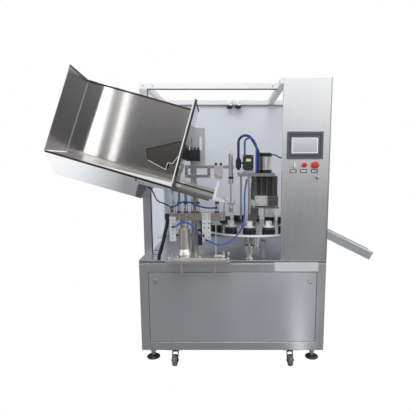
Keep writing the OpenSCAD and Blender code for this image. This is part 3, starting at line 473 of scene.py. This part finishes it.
for x in (-366, -318, -278, -64):
    for z in (978, 997):
        add_screw(stand_screws, at(x, -30, z), (0, -1, 0), 0.01, 0.004)
new_piece("stand_screws", stand_screws, screw_steel)


# Tube bin: bright rolled stainless sheet, folded and spot welded, tilted towards its outlet.
# Black rubber beading guards the cut edges of the back plate, the walls and the outlet guide,
# black plugs close four holes in the front panel, pale hems fold over the front edges,
# and pale bars along the guide plate's lower edges are a painted highlight.
tilt = math.radians(16.4)
bin_x, bin_z = -1054, 1385


def in_bin(u, y, w):
    """A point of the bin: u down along its floor, y back and w square to the floor."""
    x = bin_x + u * math.cos(tilt) + w * math.sin(tilt)
    z = bin_z - u * math.sin(tilt) + w * math.cos(tilt)
    return at(x, y, z)


def bin_axes(place):
    """Metres down along the bin's floor and square to it."""
    x, z = along(place, "X") - in_bin(0, 0, 0).x, along(place, "Z") - in_bin(0, 0, 0).z
    return x * math.cos(tilt) - z * math.sin(tilt), x * math.sin(tilt) + z * math.cos(tilt)


def rolled_sheet(name, colour, rough, waves):
    """Rolled sheet whose slight waves, running square to the floor, break reflections into upright bands."""
    material, surface, place = new_finish(name, colour, rough, 1.0)
    turned = place.node("ShaderNodeMapping", inputs={"Vector": place, "Rotation": (0, -tilt, 0)})
    bands = noise(stretch(turned, (9, 2, 0.8)), 1.0, 2.0)
    lines = noise(stretch(turned, (900, 40, 3)), 1.0, 3.0)
    feed(surface, "Roughness", lines * 0.1 + bands * 0.08 + (rough - 0.08))
    relief(surface, bands + lines * 0.001, waves, 0.012, 0.001)
    surface.inputs["Anisotropic"].default_value = 0.5
    surface.inputs["Anisotropic Rotation"].default_value = 0.25
    shade = blend(bands, [c * 0.9 for c in colour], [min(1, c * 1.08) for c in colour])
    feed(surface, "Base Color", shade)
    return material, surface, place, shade


lean = math.tan(math.radians(4.4))
bin_bright, surface, place, shade = rolled_sheet("bright_rolled_sheet", (0.6, 0.585, 0.58), 0.12, 0.02)
down, up = bin_axes(place)
depth = along(place, "Y")
past_wall = down - up * lean
wall_face, corner_edge = 0.0042, 0.0066
left_wall = (past_wall < wall_face) * (depth < at(0, 146.5, 0).y)
corner = within(past_wall, wall_face, corner_edge) * (depth > at(0, 144, 0).y)
guide = within(depth, at(0, 102, 0).y, at(0, 107, 0).y) * within(down, 0.49, 0.7358)
shade = blend(left_wall, shade, (0.55, 0.54, 0.56))
shade = blend(guide, shade, (0.36, 0.32, 0.29))
shade = blend(corner, shade, (0.8, 0.8, 0.8))
feed(surface, "Base Color", shade)
feed(surface, "Metallic", 1 - corner)
feed(surface, "Roughness", left_wall * 0.14 + noise(place, 30, 2.0) * 0.04 + 0.09)
wear("bin_walls", bin_bright)

floor_sheet, surface, place = new_finish("scuffed_floor_sheet", (0.56, 0.53, 0.51), 0.3, 1.0)
down, up = bin_axes(place)
scuffs = noise(stretch(place, (5, 300, 5)), 1.0, 3.0)
outlet, gate_start = 0.742, 0.978
feed_chute = down > outlet
shade = blend(scuffs, (0.5, 0.47, 0.45), (0.6, 0.57, 0.55))
shade = blend(feed_chute, shade, (0.78, 0.77, 0.755))
shade = blend(feed_chute * (up < 0.006), shade, (0.42, 0.39, 0.365))
gate = (down > gate_start) + within(down, 0.757, 0.783) * within(up, 0.009, 0.024) > 0.5
feed(surface, "Base Color", blend(gate, shade, (0.82, 0.825, 0.84)))
feed(surface, "Metallic", 1 - gate)
feed(surface, "Roughness", scuffs * 0.14 + 0.24)
wear("bin_floor", floor_sheet)

front_sheet, surface, place, shade = rolled_sheet("bright_front_sheet", (0.82, 0.83, 0.85), 0.3, 0.02)
down, up = bin_axes(place)
# Painted shade: the panel's top strip is near black as shade in the gap under the floor's hem, and its faces
# behind 100 mm are near black too.
dark = (up > -0.0115) + (along(place, "Y") > at(0, 100, 0).y) > 0.5
end_plate = within(down, 0.553, 0.6) * (up < -0.034)
# Painted highlight: the panel's upper end is coloured diffuse white, fading into the bare steel further down.
fade = ((down - 0.06) * 2.4).clamped()
shade = blend(fade, (0.95, 0.955, 0.97), shade)
shade = blend(end_plate, shade, (0.22, 0.22, 0.23))
feed(surface, "Base Color", blend(dark, shade, (0.006, 0.006, 0.007)))
feed(surface, "Metallic", (1 - dark) * fade)
wear("bin_front_panel", front_sheet)


def add_bar(shape, start, end, side, width, depth):
    """Straight bar from start to end, width across towards side and depth square to both."""
    way = end - start
    across = Vector(side).normalized()
    away = way.normalized().cross(across)
    sides = Matrix((way, across * width, away * depth)).transposed().to_4x4()
    bmesh.ops.create_cube(shape, size=1, matrix=Matrix.Translation((start + end) / 2) @ sides)


def add_turned(shape, spot, way, outline):
    """Body turned from points of radius and height, standing on spot along way."""
    turn = Matrix.Translation(spot) @ Vector(way).to_track_quat("Z", "Y").to_matrix().to_4x4()
    verts = [shape.verts.new(turn @ Vector((r, 0, h))) for r, h in outline]
    edges = [shape.edges.new(pair) for pair in zip(verts, verts[1:] + verts[:1])]
    bmesh.ops.spin(shape, geom=verts + edges, cent=spot, axis=Vector(way), angle=math.tau, steps=28,
                   use_merge=True)
    bmesh.ops.remove_doubles(shape, verts=shape.verts[:], dist=0.00001)


def add_ring(shape, spot, way, inner, outer, tall):
    add_turned(shape, spot, way, [(inner, 0), (outer, 0), (outer, tall), (inner, tall)])


beading = bmesh.new()
wall_top, bin_front, bin_back, guide_y = 480, -149, 146, 104.5
wall_front = in_bin(wall_top * lean + 1.5, bin_front, wall_top - 1)
wall_back = in_bin((wall_top - 24) * lean + 1.5, bin_back, wall_top - 25)
add_bar(beading, wall_front, wall_back, (1, 0, 0), 0.008, 0.01)
add_bar(beading, wall_back, in_bin(737, bin_back, 470), (0, 1, 0), 0.008, 0.01)
add_bar(beading, in_bin(738.5, bin_front, 497), in_bin(738.5, bin_back, 472), (1, 0, 0), 0.008, 0.01)
add_bar(beading, in_bin(745, -146, 66), in_bin(745, -146, 500), (0, 1, 0), 0.008, 0.01)
add_bar(beading, in_bin(745, -113, 31), in_bin(975, -113, 31), (0, 1, 0), 0.007, 0.008)
guide_edge = [in_bin(u, guide_y, w) for u, w in ((522, 95), (495, 157), (687, 262), (736, 262))]
for start, end in zip(guide_edge, guide_edge[1:]):
    add_bar(beading, start, end, (0, 1, 0), 0.008, 0.008)
for u, w, r in ((534, -19, 0.0058), (556, -26, 0.0028), (568, -26, 0.0028), (580, -26, 0.0028)):
    add_ring(beading, in_bin(u, -147.6, w), (0, -1, 0), 0.0004, r, 0.002)
new_piece("bin_edge_beading", beading, seal_rubber)

hem_and_highlight_shape = bmesh.new()
wedge = ((190, 0.4), (735, 0.4), (735, 23))
corners = [hem_and_highlight_shape.verts.new(in_bin(u, y, w)) for y in (-147, -145.6) for u, w in wedge]
for ring in ((0, 1, 2), (5, 4, 3), (0, 3, 4, 1), (1, 4, 5, 2), (2, 5, 3, 0)):
    hem_and_highlight_shape.faces.new([corners[k] for k in ring])
add_bar(hem_and_highlight_shape, in_bin(734, bin_front, 24), in_bin(734, bin_front, 494), (0, 1, 0), 0.0018, 0.006)
# Painted highlight: pale bars along the guide plate's lower edges stand for light on the sheet's edges.
guide_edge_highlight = [in_bin(u, guide_y - 1.5, w) for u, w in ((522, 95), (642, 68), (642, 115), (672, 115), (734, 256))]
for start, end in zip(guide_edge_highlight, guide_edge_highlight[1:]):
    add_bar(hem_and_highlight_shape, start, end, (0, 1, 0), 0.003, 0.003)
new_piece("bin_hems_and_edge_highlights", hem_and_highlight_shape, lacquer("pale_hem_and_edge_highlight", (0.86, 0.865, 0.88), 0.3, 0.0005))
bin_screws = bmesh.new()
for u in (60, 230, 400, 560):
    add_screw(bin_screws, in_bin(u, 150, 20), (0, 1, 0), 0.012, 0.004)
new_piece("bin_screws", bin_screws, screw_steel)


# Loader: natural alloy post, bars and air cylinders with black valves and white drilled plates.
# Plated and brass fittings, screw heads and black end caps dress the cylinders and the valve block.
alloy = brushed_steel("natural_alloy", (0.66, 0.67, 0.69), (30, 30, 500), 0.32, 0.06)
wear("loader_frame", brushed_steel("bright_drawn_alloy", (0.6, 0.605, 0.62), (30, 30, 500), 0.2, 0.12))
wear("press_cylinder", alloy)
valve_black = satin_black("black_valve_plastic", (0.01, 0.011, 0.013), 0.4, 700)
wear("valve_manifold", valve_black)
plate_white = lacquer("white_satin_plate", (0.6, 0.61, 0.63), 0.4, 0.0008)
wear("bracket_plates", plate_white)
wear("tube_cradle", bin_bright)
wear("press_rod", turned_steel)
brass = brushed_steel("brass_fitting", (0.5, 0.42, 0.27), (300, 300, 300), 0.3, 0.1, 0.0005)

caps = bmesh.new()
for x, width in ((-325, 22), (-285, 24), (-245, 18), (-212, 22), (-96, 24)):
    r = width / 2000
    for z, tall in ((1011, 0.010), (1066, 0.011)):
        add_ring(caps, at(x, 0, z), (0, 0, 1), r + 0.0001, r + 0.0014, tall)
add_ring(caps, at(-10.8, 165.9, 1210), (0, 0, 1), 0.0151, 0.0162, 0.014)
for k in range(9):
    add_ring(caps, at(-325, 0, 1081 + 7 * k), (0, 0, 1), 0.0056, 0.0085, 0.0035)
    add_ring(caps, at(-285, 0, 1081 + 7 * k), (0, 0, 1), 0.0061, 0.009, 0.0035)
dome = [(0.0008, 0), (0.0085, 0), (0.0085, 0.012), (0.006, 0.016), (0.0008, 0.016)]
for x in (-108, -76):
    add_turned(caps, at(x, 194, 1295.1), (0, 0, 1), dome)
for x in (-311, -165):
    for z in (1236, 1271):
        add_block(caps, at(x, 213.6, z), at(x + 18, 214.6, z + 4))
new_piece("cylinder_caps", caps, valve_black)

fittings = bmesh.new()
for x, z in ((-172, 1000), (-145, 1000), (-172, 980), (-145, 980), (-362, 968), (-362, 950)):
    add_screw(fittings, at(x, -34, z), (0, -1, 0), 0.010, 0.004)
for x in (-300, -154):
    for z in (1225, 1286):
        add_screw(fittings, at(x, 214.7, z), (0, -1, 0), 0.011, 0.006)
for z in (1310, 1522):
    for x in (-250, -191):
        add_screw(fittings, at(x, 231, z), (0, -1, 0), 0.009, 0.004)
new_piece("loader_screws", fittings, screw_steel)
nipples = bmesh.new()
nipple = [(0.001, 0), (0.006, 0), (0.006, 0.012), (0.004, 0.013), (0.004, 0.02), (0.001, 0.02)]
for x, z in ((-78, 1224), (-102, 1236)):
    add_turned(nipples, at(x, 174.3, z), (0, -1, 0), nipple)
new_piece("brass_nipples", nipples, brass)

spring = bmesh.new()
for k in range(14):
    add_ring(spring, at(-202, 0, 912 + 3.6 * k), (0, 0, 1), 0.0062, 0.0105, 0.0016)
new_piece("absorber_spring", spring, alloy)
flag = bmesh.new()
add_ring(flag, at(-202, -15, 890), (0, -1, 0), 0.0005, 0.008, 0.003)
new_piece("green_mark", flag, gloss_moulding("lime_green_mark", (0.42, 0.55, 0.04)))


# Stations over the turntable: grey column and plate, filling valve, sealing motor and frame.
# The motor's end caps are black castings, and the block between the seal frame's fins is bare alloy.
wear("station_tower", lacquer("grey_station_coat", (0.2, 0.205, 0.215), 0.4))
wear("fill_valve", valve_black)
wear("fill_nozzle", turned_steel)
motor, surface, place = new_finish("silver_motor_black_caps", (0.72, 0.73, 0.75), 0.3, 1.0)
height = along(place, "Z")
upper_cap, lower_cap = 1.3505, 1.2695
cap = (height > upper_cap) + (height < lower_cap)
lines = noise(stretch(place, (30, 30, 900)), 1.0, 3.0)
feed(surface, "Base Color", blend(cap, (0.72, 0.73, 0.75), (0.01, 0.01, 0.011)))
feed(surface, "Metallic", 1 - cap)
feed(surface, "Roughness", lines * 0.12 + 0.24 + cap * 0.1)
relief(surface, lines, 0.05, 0.0004, 0.0015)
wear("seal_motor", motor)
frame_dark, surface, place = new_finish("dark_seal_frame", (0.07, 0.07, 0.075), 0.38)
bare = within(along(place, "X"), at(117.9, 0, 0).x, at(219.1, 0, 0).x)
bare = bare * within(along(place, "Z"), 1.0405, 1.1055)
patches = noise(place, 30, 3.0)
feed(surface, "Base Color", blend(bare, (0.12, 0.115, 0.112), (0.7, 0.71, 0.72)))
feed(surface, "Roughness", patches * 0.2 + 0.28)
feed(surface, "Metallic", bare * 0.6)
relief(surface, noise(place, 400, 2.0), 0.05, 0.0003, 0.001)
wear("seal_frame", frame_dark)
wear("jaw_front", alloy)
wear("jaw_back", alloy)
wear("lift_spindle", turned_steel)
label = bmesh.new()
add_block(label, at(82, 45.6, 1320), at(112, 48, 1336))
soften(label, 0.0005)
new_piece("valve_label", label, lacquer("cream_valve_label", (0.72, 0.69, 0.5), 0.4, 0.0004))
station_screws = bmesh.new()
for x, y in ((48, 66), (48, 150), (246, 66), (248, 200), (150, 200), (80, 300), (200, 300)):
    add_screw(station_screws, at(x, y, 1248), (0, 0, 1), 0.014, 0.009)
motor_x, motor_y, motor_top, bolt_circle = 204, 140, 1374, 36
for degrees in (45, 135, 225, 315):
    spot = around(motor_x, motor_y, motor_top, bolt_circle, degrees)
    add_screw(station_screws, spot, (0, 0, 1), 0.008, 0.004)
for x in (156, 208):
    for z in (1056, 1092):
        add_screw(station_screws, at(x, 92, z), (0, -1, 0), 0.010, 0.005)
for x in (134, 274):
    add_screw(station_screws, at(x, 72, 1036.8), (0, 0, 1), 0.012, 0.007)
for x in (68, 123):
    for z in (1274, 1353):
        add_screw(station_screws, at(x, 46, z), (0, -1, 0), 0.007, 0.003)
new_piece("station_screws", station_screws, screw_steel)
for jaw, body, face, way in (("front", "front_jaw", 62, -1), ("back", "back_jaw", 116, 1)):
    jaw_screws = bmesh.new()
    for x in (211, 247):
        add_screw(jaw_screws, at(x, face, 1016), (0, way, 0), 0.009, 0.003)
    new_piece(jaw + "_jaw_screws", jaw_screws, screw_steel, body)


# Discharge chute: folded sheet channel with rolled hems, which runs out past the cabinet's right side.
# The near wall is bright outside, and the far wall is seen from its inside, which is rougher and painted dark
# as shade.
chute_x, chute_y, chute_z = 505, 290, 868
chute_steel, surface, place = new_finish("brushed_chute_steel", (0.62, 0.63, 0.65), 0.34, 1.0)
grain = noise(stretch(place, (60, 900, 60)), 1.0, 3.0)
# Painted shade: the inside faces are coloured dark, besides being rougher and less metallic.
shaded_inside = along(place, "Y") > at(0, chute_y - 53, 0).y
shade = blend(grain, (0.68, 0.69, 0.71), (0.76, 0.77, 0.79))
feed(surface, "Base Color", blend(shaded_inside, shade, (0.2, 0.205, 0.215)))
feed(surface, "Metallic", 1 - shaded_inside * 0.7)
feed(surface, "Roughness", grain * 0.14 + 0.28 + shaded_inside * 0.16)
relief(surface, grain, 0.04, 0.0004, 0.0012)
wear("discharge_chute", chute_steel)
slope = math.radians(26.3)


def in_chute(u, y, w):
    """A point of the chute: u down along its floor, y back from its middle and w square to the floor."""
    x = chute_x + u * math.cos(slope) + w * math.sin(slope)
    z = chute_z - u * math.sin(slope) + w * math.cos(slope)
    return at(x, chute_y + y, z)


hems = bmesh.new()
for y in (-53, 53):
    add_bar(hems, in_chute(2, y, 56), in_chute(469, y, 56), (0, 1, 0), 0.006, 0.012)
soften(hems, 0.0012)
hem_steel, surface, place = new_finish("rolled_hem_steel", (0.8, 0.81, 0.83), 0.4)
satin = noise(place, 260, 2.0)
# Painted light: the near hem is coloured pale as a highlight, and the far hem dark as shade.
lit_near_hem = along(place, "Y") < at(0, chute_y, 0).y
feed(surface, "Base Color", blend(lit_near_hem, (0.2, 0.205, 0.215), (0.84, 0.85, 0.87)))
feed(surface, "Roughness", satin * 0.1 + 0.35)
relief(surface, satin, 0.05, 0.0004, 0.001)
new_piece("chute_hems", hems, hem_steel)
chute_screws = bmesh.new()
for z in (730, 760, 790):
    add_screw(chute_screws, at(553, 250, z), (0, -1, 0), 0.011, 0.005)
new_piece("chute_screws", chute_screws, screw_steel)


# Hoses and cables: blue polyurethane air hose and black sheathed cable, each from fitting to fitting.
# The routes are those of the CAD cords, and three ties hold the thick bundle.
def sheath(name, colour, rough, lumps=0.05):
    material, surface, place = new_finish(name, colour, rough)
    scuffs = noise(place, 90, 3.0)
    feed(surface, "Base Color", blend(scuffs, [c * 0.8 for c in colour], [c * 1.25 for c in colour]))
    feed(surface, "Roughness", scuffs * 0.15 + (rough - 0.07))
    relief(surface, noise(stretch(place, (140, 140, 30)), 1.0, 3.0), lumps, 0.004, 0.0004)
    return material


hose_blue = sheath("blue_air_hose", (0.02, 0.07, 0.36), 0.3)
hose_dark = sheath("dark_tube_bundle", (0.012, 0.02, 0.09), 0.32, 0.6)
cable_black = sheath("black_cable_sheath", (0.012, 0.012, 0.013), 0.5)
wrapped_black = sheath("black_taped_bundle", (0.012, 0.012, 0.013), 0.42, 0.6)


def lay_cord(name, route, thickness, material):
    line = bpy.data.curves.new(name + "_line", "CURVE")
    line.dimensions = "3D"
    line.bevel_depth = thickness / 2
    line.bevel_resolution = 4
    line.resolution_u = 6
    line.use_fill_caps = True
    spline = line.splines.new("BEZIER")
    spline.bezier_points.add(len(route) - 1)
    for point, spot in zip(spline.bezier_points, route):
        point.co = at(*spot)
        point.handle_left_type = "AUTO"
        point.handle_right_type = "AUTO"
    cord = bpy.data.objects.new(name + "_run", line)
    bpy.context.scene.collection.objects.link(cord)
    line.materials.append(material)
    spots = [at(*spot) for spot in route]
    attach(cord, "machine")
    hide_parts(name)


lay_cord("hose_upper", [
    (-355.8, -46, 1052), (-348, -46, 1053), (-334, -46, 1062), (-318, -46, 1073), (-300, -46, 1080),
    (-280, -46, 1082), (-260, -46, 1079), (-238, -46, 1072), (-218, -46, 1063), (-196, -46, 1055),
    (-170, -46, 1048), (-142, -46, 1045), (-116, -46, 1045), (-102.2, -46, 1045)],
    0.01, hose_blue)
lay_cord("hose_mid", [
    (-355.8, -50, 930), (-348, -50, 931), (-336, -50, 938), (-322, -50, 949), (-306, -50, 956),
    (-288, -50, 958), (-270, -50, 955), (-254, -50, 947), (-240, -50, 934), (-227, -50, 917),
    (-214, -50, 900), (-202, -50, 887), (-191, -50, 879), (-182.2, -50, 877)],
    0.01, hose_blue)
lay_cord("hose_loop", [
    (-153.8, -49, 848), (-146, -49, 846), (-133, -47, 838), (-118, -44, 829), (-100, -40, 822),
    (-80, -37, 818), (-60, -32, 819), (-40, -26, 824), (-18, -16, 834), (6, -4, 851), (30, 6, 874),
    (50, 13, 902), (64, 19, 935), (72, 30, 975), (74, 45, 1020), (74, 59, 1070), (76, 69, 1120),
    (81, 75, 1165), (85.5, 77.4, 1188), (85.5, 77.4, 1198.8)],
    0.01, hose_blue)
lay_cord("hose_arch", [
    (36, 90, 1344.2), (36, 90, 1368.2), (36, 89.9, 1390.1), (36, 89.5, 1412.1), (36, 88.8, 1434),
    (37.5, 88.4, 1445.4), (41.9, 88, 1456), (48.9, 87.5, 1465.1), (58, 87, 1472.1), (68.6, 86.4, 1476.5),
    (80, 85.8, 1478), (91.4, 85.2, 1476.5), (102, 84.6, 1472.1), (111.1, 84, 1465.1), (118.1, 83.3, 1456),
    (150.6, 79.8, 1399.7), (154.7, 79.3, 1391.5), (157.6, 78.9, 1382.8), (159.4, 78.5, 1373.8),
    (160, 78.1, 1364.7), (160, 76.6, 1319.4), (160, 76, 1274.2), (160, 76, 1248.2)],
    0.016, hose_dark)
lay_cord("hose_valve", [
    (74, 70, 1360.2), (74, 70, 1384.2), (74, 69.9, 1400.5), (74, 69.7, 1416.7), (74, 69.3, 1433),
    (75, 69.1, 1440.5), (77.9, 68.8, 1447.5), (82.5, 68.6, 1453.5), (88.5, 68.3, 1458.1), (95.5, 68, 1461),
    (103, 67.7, 1462), (110.5, 67.4, 1461), (117.5, 67, 1458.1), (123.5, 66.7, 1453.5),
    (128.1, 66.3, 1447.5), (140.6, 65.1, 1425.8), (143, 64.8, 1421.1), (144.6, 64.6, 1416.2),
    (145.7, 64.3, 1411), (146, 64, 1405.8), (146, 61.2, 1340), (146, 60, 1274.2), (146, 60, 1248.2)],
    0.012, hose_blue)
lay_cord("cable_motor", [
    (248.3, 140, 1362), (260, 140, 1362), (278, 140, 1356), (294, 139, 1347), (310, 135, 1342),
    (324, 127, 1339), (334, 116, 1338), (339, 108, 1338), (340, 104, 1338), (340, 100.2, 1338)],
    0.008, cable_black)
lay_cord("cable_feeder", [
    (-495.5, -60, 1168.4), (-484, -60, 1163), (-474, -60, 1148), (-465, -60, 1128), (-455, -60, 1106),
    (-443, -61, 1090), (-428, -62, 1081), (-408, -63, 1074), (-388, -64, 1066), (-372, -64, 1054),
    (-363, -64, 1040), (-362, -64, 1032.2)],
    0.008, cable_black)
lay_cord("cable_bundle", [
    (-400, 10, 969.7), (-400, 10, 955), (-405, 9, 930), (-414, 8, 896), (-424, 7, 852), (-436, 8, 806),
    (-448, 11, 768), (-457, 14, 742), (-460, 15, 726), (-460, 15, 712.3)],
    0.022, wrapped_black)
ties = bmesh.new()
for lower, upper in (((-424, 7, 852), (-414, 8, 896)), ((-448, 11, 768), (-436, 8, 806)),
                     ((-457, 14, 742), (-448, 11, 768))):
    way = (at(*upper) - at(*lower)).normalized()
    add_ring(ties, at(*lower) + way * 0.012, way, 0.0111, 0.0122, 0.004)
    x, y, z = lower
    add_block(ties, at(x - 38, y - 2, z + 4), at(x - 10, y, z + 7))
new_piece("cable_ties", ties, cable_black)


# Studio: a floor that the camera sees as plain white and steel mirrors as grey with one bright stripe,
# a surround that is brighter above than below and darker on the left, a large soft light overhead,
# fills on both sides and two tilted cards whose reflections band the bin's back plate.
floor_mesh = bpy.data.meshes.new("studio_floor")
shape = bmesh.new()
bmesh.ops.create_grid(shape, x_segments=1, y_segments=1, size=12)
shape.to_mesh(floor_mesh)
shape.free()
floor = bpy.data.objects.new("studio_floor", floor_mesh)
bpy.context.scene.collection.objects.link(floor)
floor_paint = bpy.data.materials.new("white_studio_floor")
floor_paint.use_nodes = True
tree = floor_paint.node_tree
surface = tree.nodes["Principled BSDF"]
surface.inputs["Base Color"].default_value = (0.8, 0.8, 0.8, 1)
surface.inputs["Roughness"].default_value = 0.9
seen = Wire(tree).node("ShaderNodeLightPath", output="Is Camera Ray")
mirrored = seen.node("ShaderNodeLightPath", output="Is Glossy Ray")


def glow(colour, strength):
    return seen.node("ShaderNodeEmission", inputs={"Color": (*colour, 1), "Strength": strength})


def shader_mix(factor, under, over):
    return seen.node("ShaderNodeMixShader", inputs={0: factor, 1: under, 2: over})


plain_white, cool_grey = (1, 1, 1), (0.93, 0.96, 1)
place = seen.node("ShaderNodeTexCoord", output="Object")
across, back = along(place, "X"), along(place, "Y")
stripe_x, stripe_lean = 0.478, 0.1787
off_stripe = abs(across - stripe_x + (back + centre_y / 1000) * stripe_lean)
stripe = (1 - off_stripe * 13).clamped() * within(back, -2.75, -0.55)
far = ((back + 1.5) * -0.45).clamped()
graded = shader_mix(far, glow(cool_grey, 0.26), glow(cool_grey, 0.18))
striped = shader_mix(stripe, graded, glow(plain_white, 1.5))
lit = shader_mix(mirrored, Wire(tree, surface.outputs[0]), striped)
blended = shader_mix(seen, lit, glow(plain_white, 1.0))
tree.links.new(blended.socket, tree.nodes["Material Output"].inputs["Surface"])
floor_mesh.materials.append(floor_paint)

world = bpy.data.worlds.new("white_surround")
bpy.context.scene.world = world
world.use_nodes = True
tree = world.node_tree
path = tree.nodes.new("ShaderNodeLightPath")
camera_ray = Wire(tree, path.outputs["Is Camera Ray"])
glossy_ray = Wire(tree, path.outputs["Is Glossy Ray"])
clear_ray = Wire(tree, path.outputs["Is Transmission Ray"])
way = camera_ray.node("ShaderNodeTexCoord", output="Generated")
seen = camera_ray.sum("MAXIMUM", camera_ray, clear_ray)
sky = [(0.0, 0.12), (0.44, 0.16), (0.5, 0.36), (0.55, 0.7), (0.6, 1.15), (1.0, 1.2)]
brighter_above = way.node("ShaderNodeValToRGB", {"stops": sky}, {0: along(way, "Z") * 0.5 + 0.5})
sides = [(0.0, 0.3), (0.44, 0.26), (0.55, 1.0), (1.0, 1.0)]
darker_left = way.node("ShaderNodeValToRGB", {"stops": sides}, {0: along(way, "X") * 0.5 + 0.5})
level = seen + (1 - seen) * (glossy_ray * brighter_above * darker_left * 1.4 + (1 - glossy_ray) * 0.42)
tree.links.new(level.socket, tree.nodes["Background"].inputs["Strength"])
tree.nodes["Background"].inputs["Color"].default_value = (1, 1, 1, 1)


def soft_box(name, spot, target, width, height, power, roll=0.0):
    lamp = bpy.data.lights.new(name, "AREA")
    lamp.shape = "RECTANGLE"
    lamp.size = width
    lamp.size_y = height
    lamp.energy = power
    lit = bpy.data.objects.new(name, lamp)
    lit.location = spot
    aim = (Vector(target) - Vector(spot)).to_track_quat("-Z", "Y")
    lit.rotation_euler = (aim @ Quaternion((0, 0, 1), roll)).to_euler()
    bpy.context.scene.collection.objects.link(lit)


soft_box("overhead_soft_box", (-0.6, -1.6, 3.6), (0, 0, 0.9), 3.0, 2.0, 55)
soft_box("left_soft_box", (-3.2, -2.2, 1.8), (0, 0, 1.0), 1.6, 2.4, 24)
soft_box("right_soft_box", (3.0, -2.4, 1.6), (0.2, 0, 0.8), 1.0, 2.2, 16)
card_roll = math.radians(-16)
soft_box("bin_light_card", (-1.68, -2.8, 1.75), (-0.8, -0.3, 1.5), 0.17, 1.6, 2.4, card_roll)
soft_box("bin_edge_card", (-1.34, -2.8, 1.86), (-0.7, -0.3, 1.5), 0.06, 1.4, 0.75, card_roll)


# Camera: fitted to the cabinet, the turntable and the bin as the photograph shows them.
# Its shift frames the machine as the photograph does, and the view transform keeps tones as they are.
lens = bpy.data.cameras.new("portrait_camera")
lens.sensor_width = 36
lens.lens = 34.45
lens.shift_x = -0.0588
lens.shift_y = 0.0387
camera = bpy.data.objects.new("portrait_camera", lens)
camera.location = at(-0.9, -2411.9, 1309.9)
look_down = 0.152
camera.rotation_euler = (math.pi / 2 - look_down, 0, 0)
bpy.context.scene.collection.objects.link(camera)
bpy.context.scene.camera = camera
bpy.context.scene.view_settings.view_transform = "Standard"

bpy.context.view_layer.update()
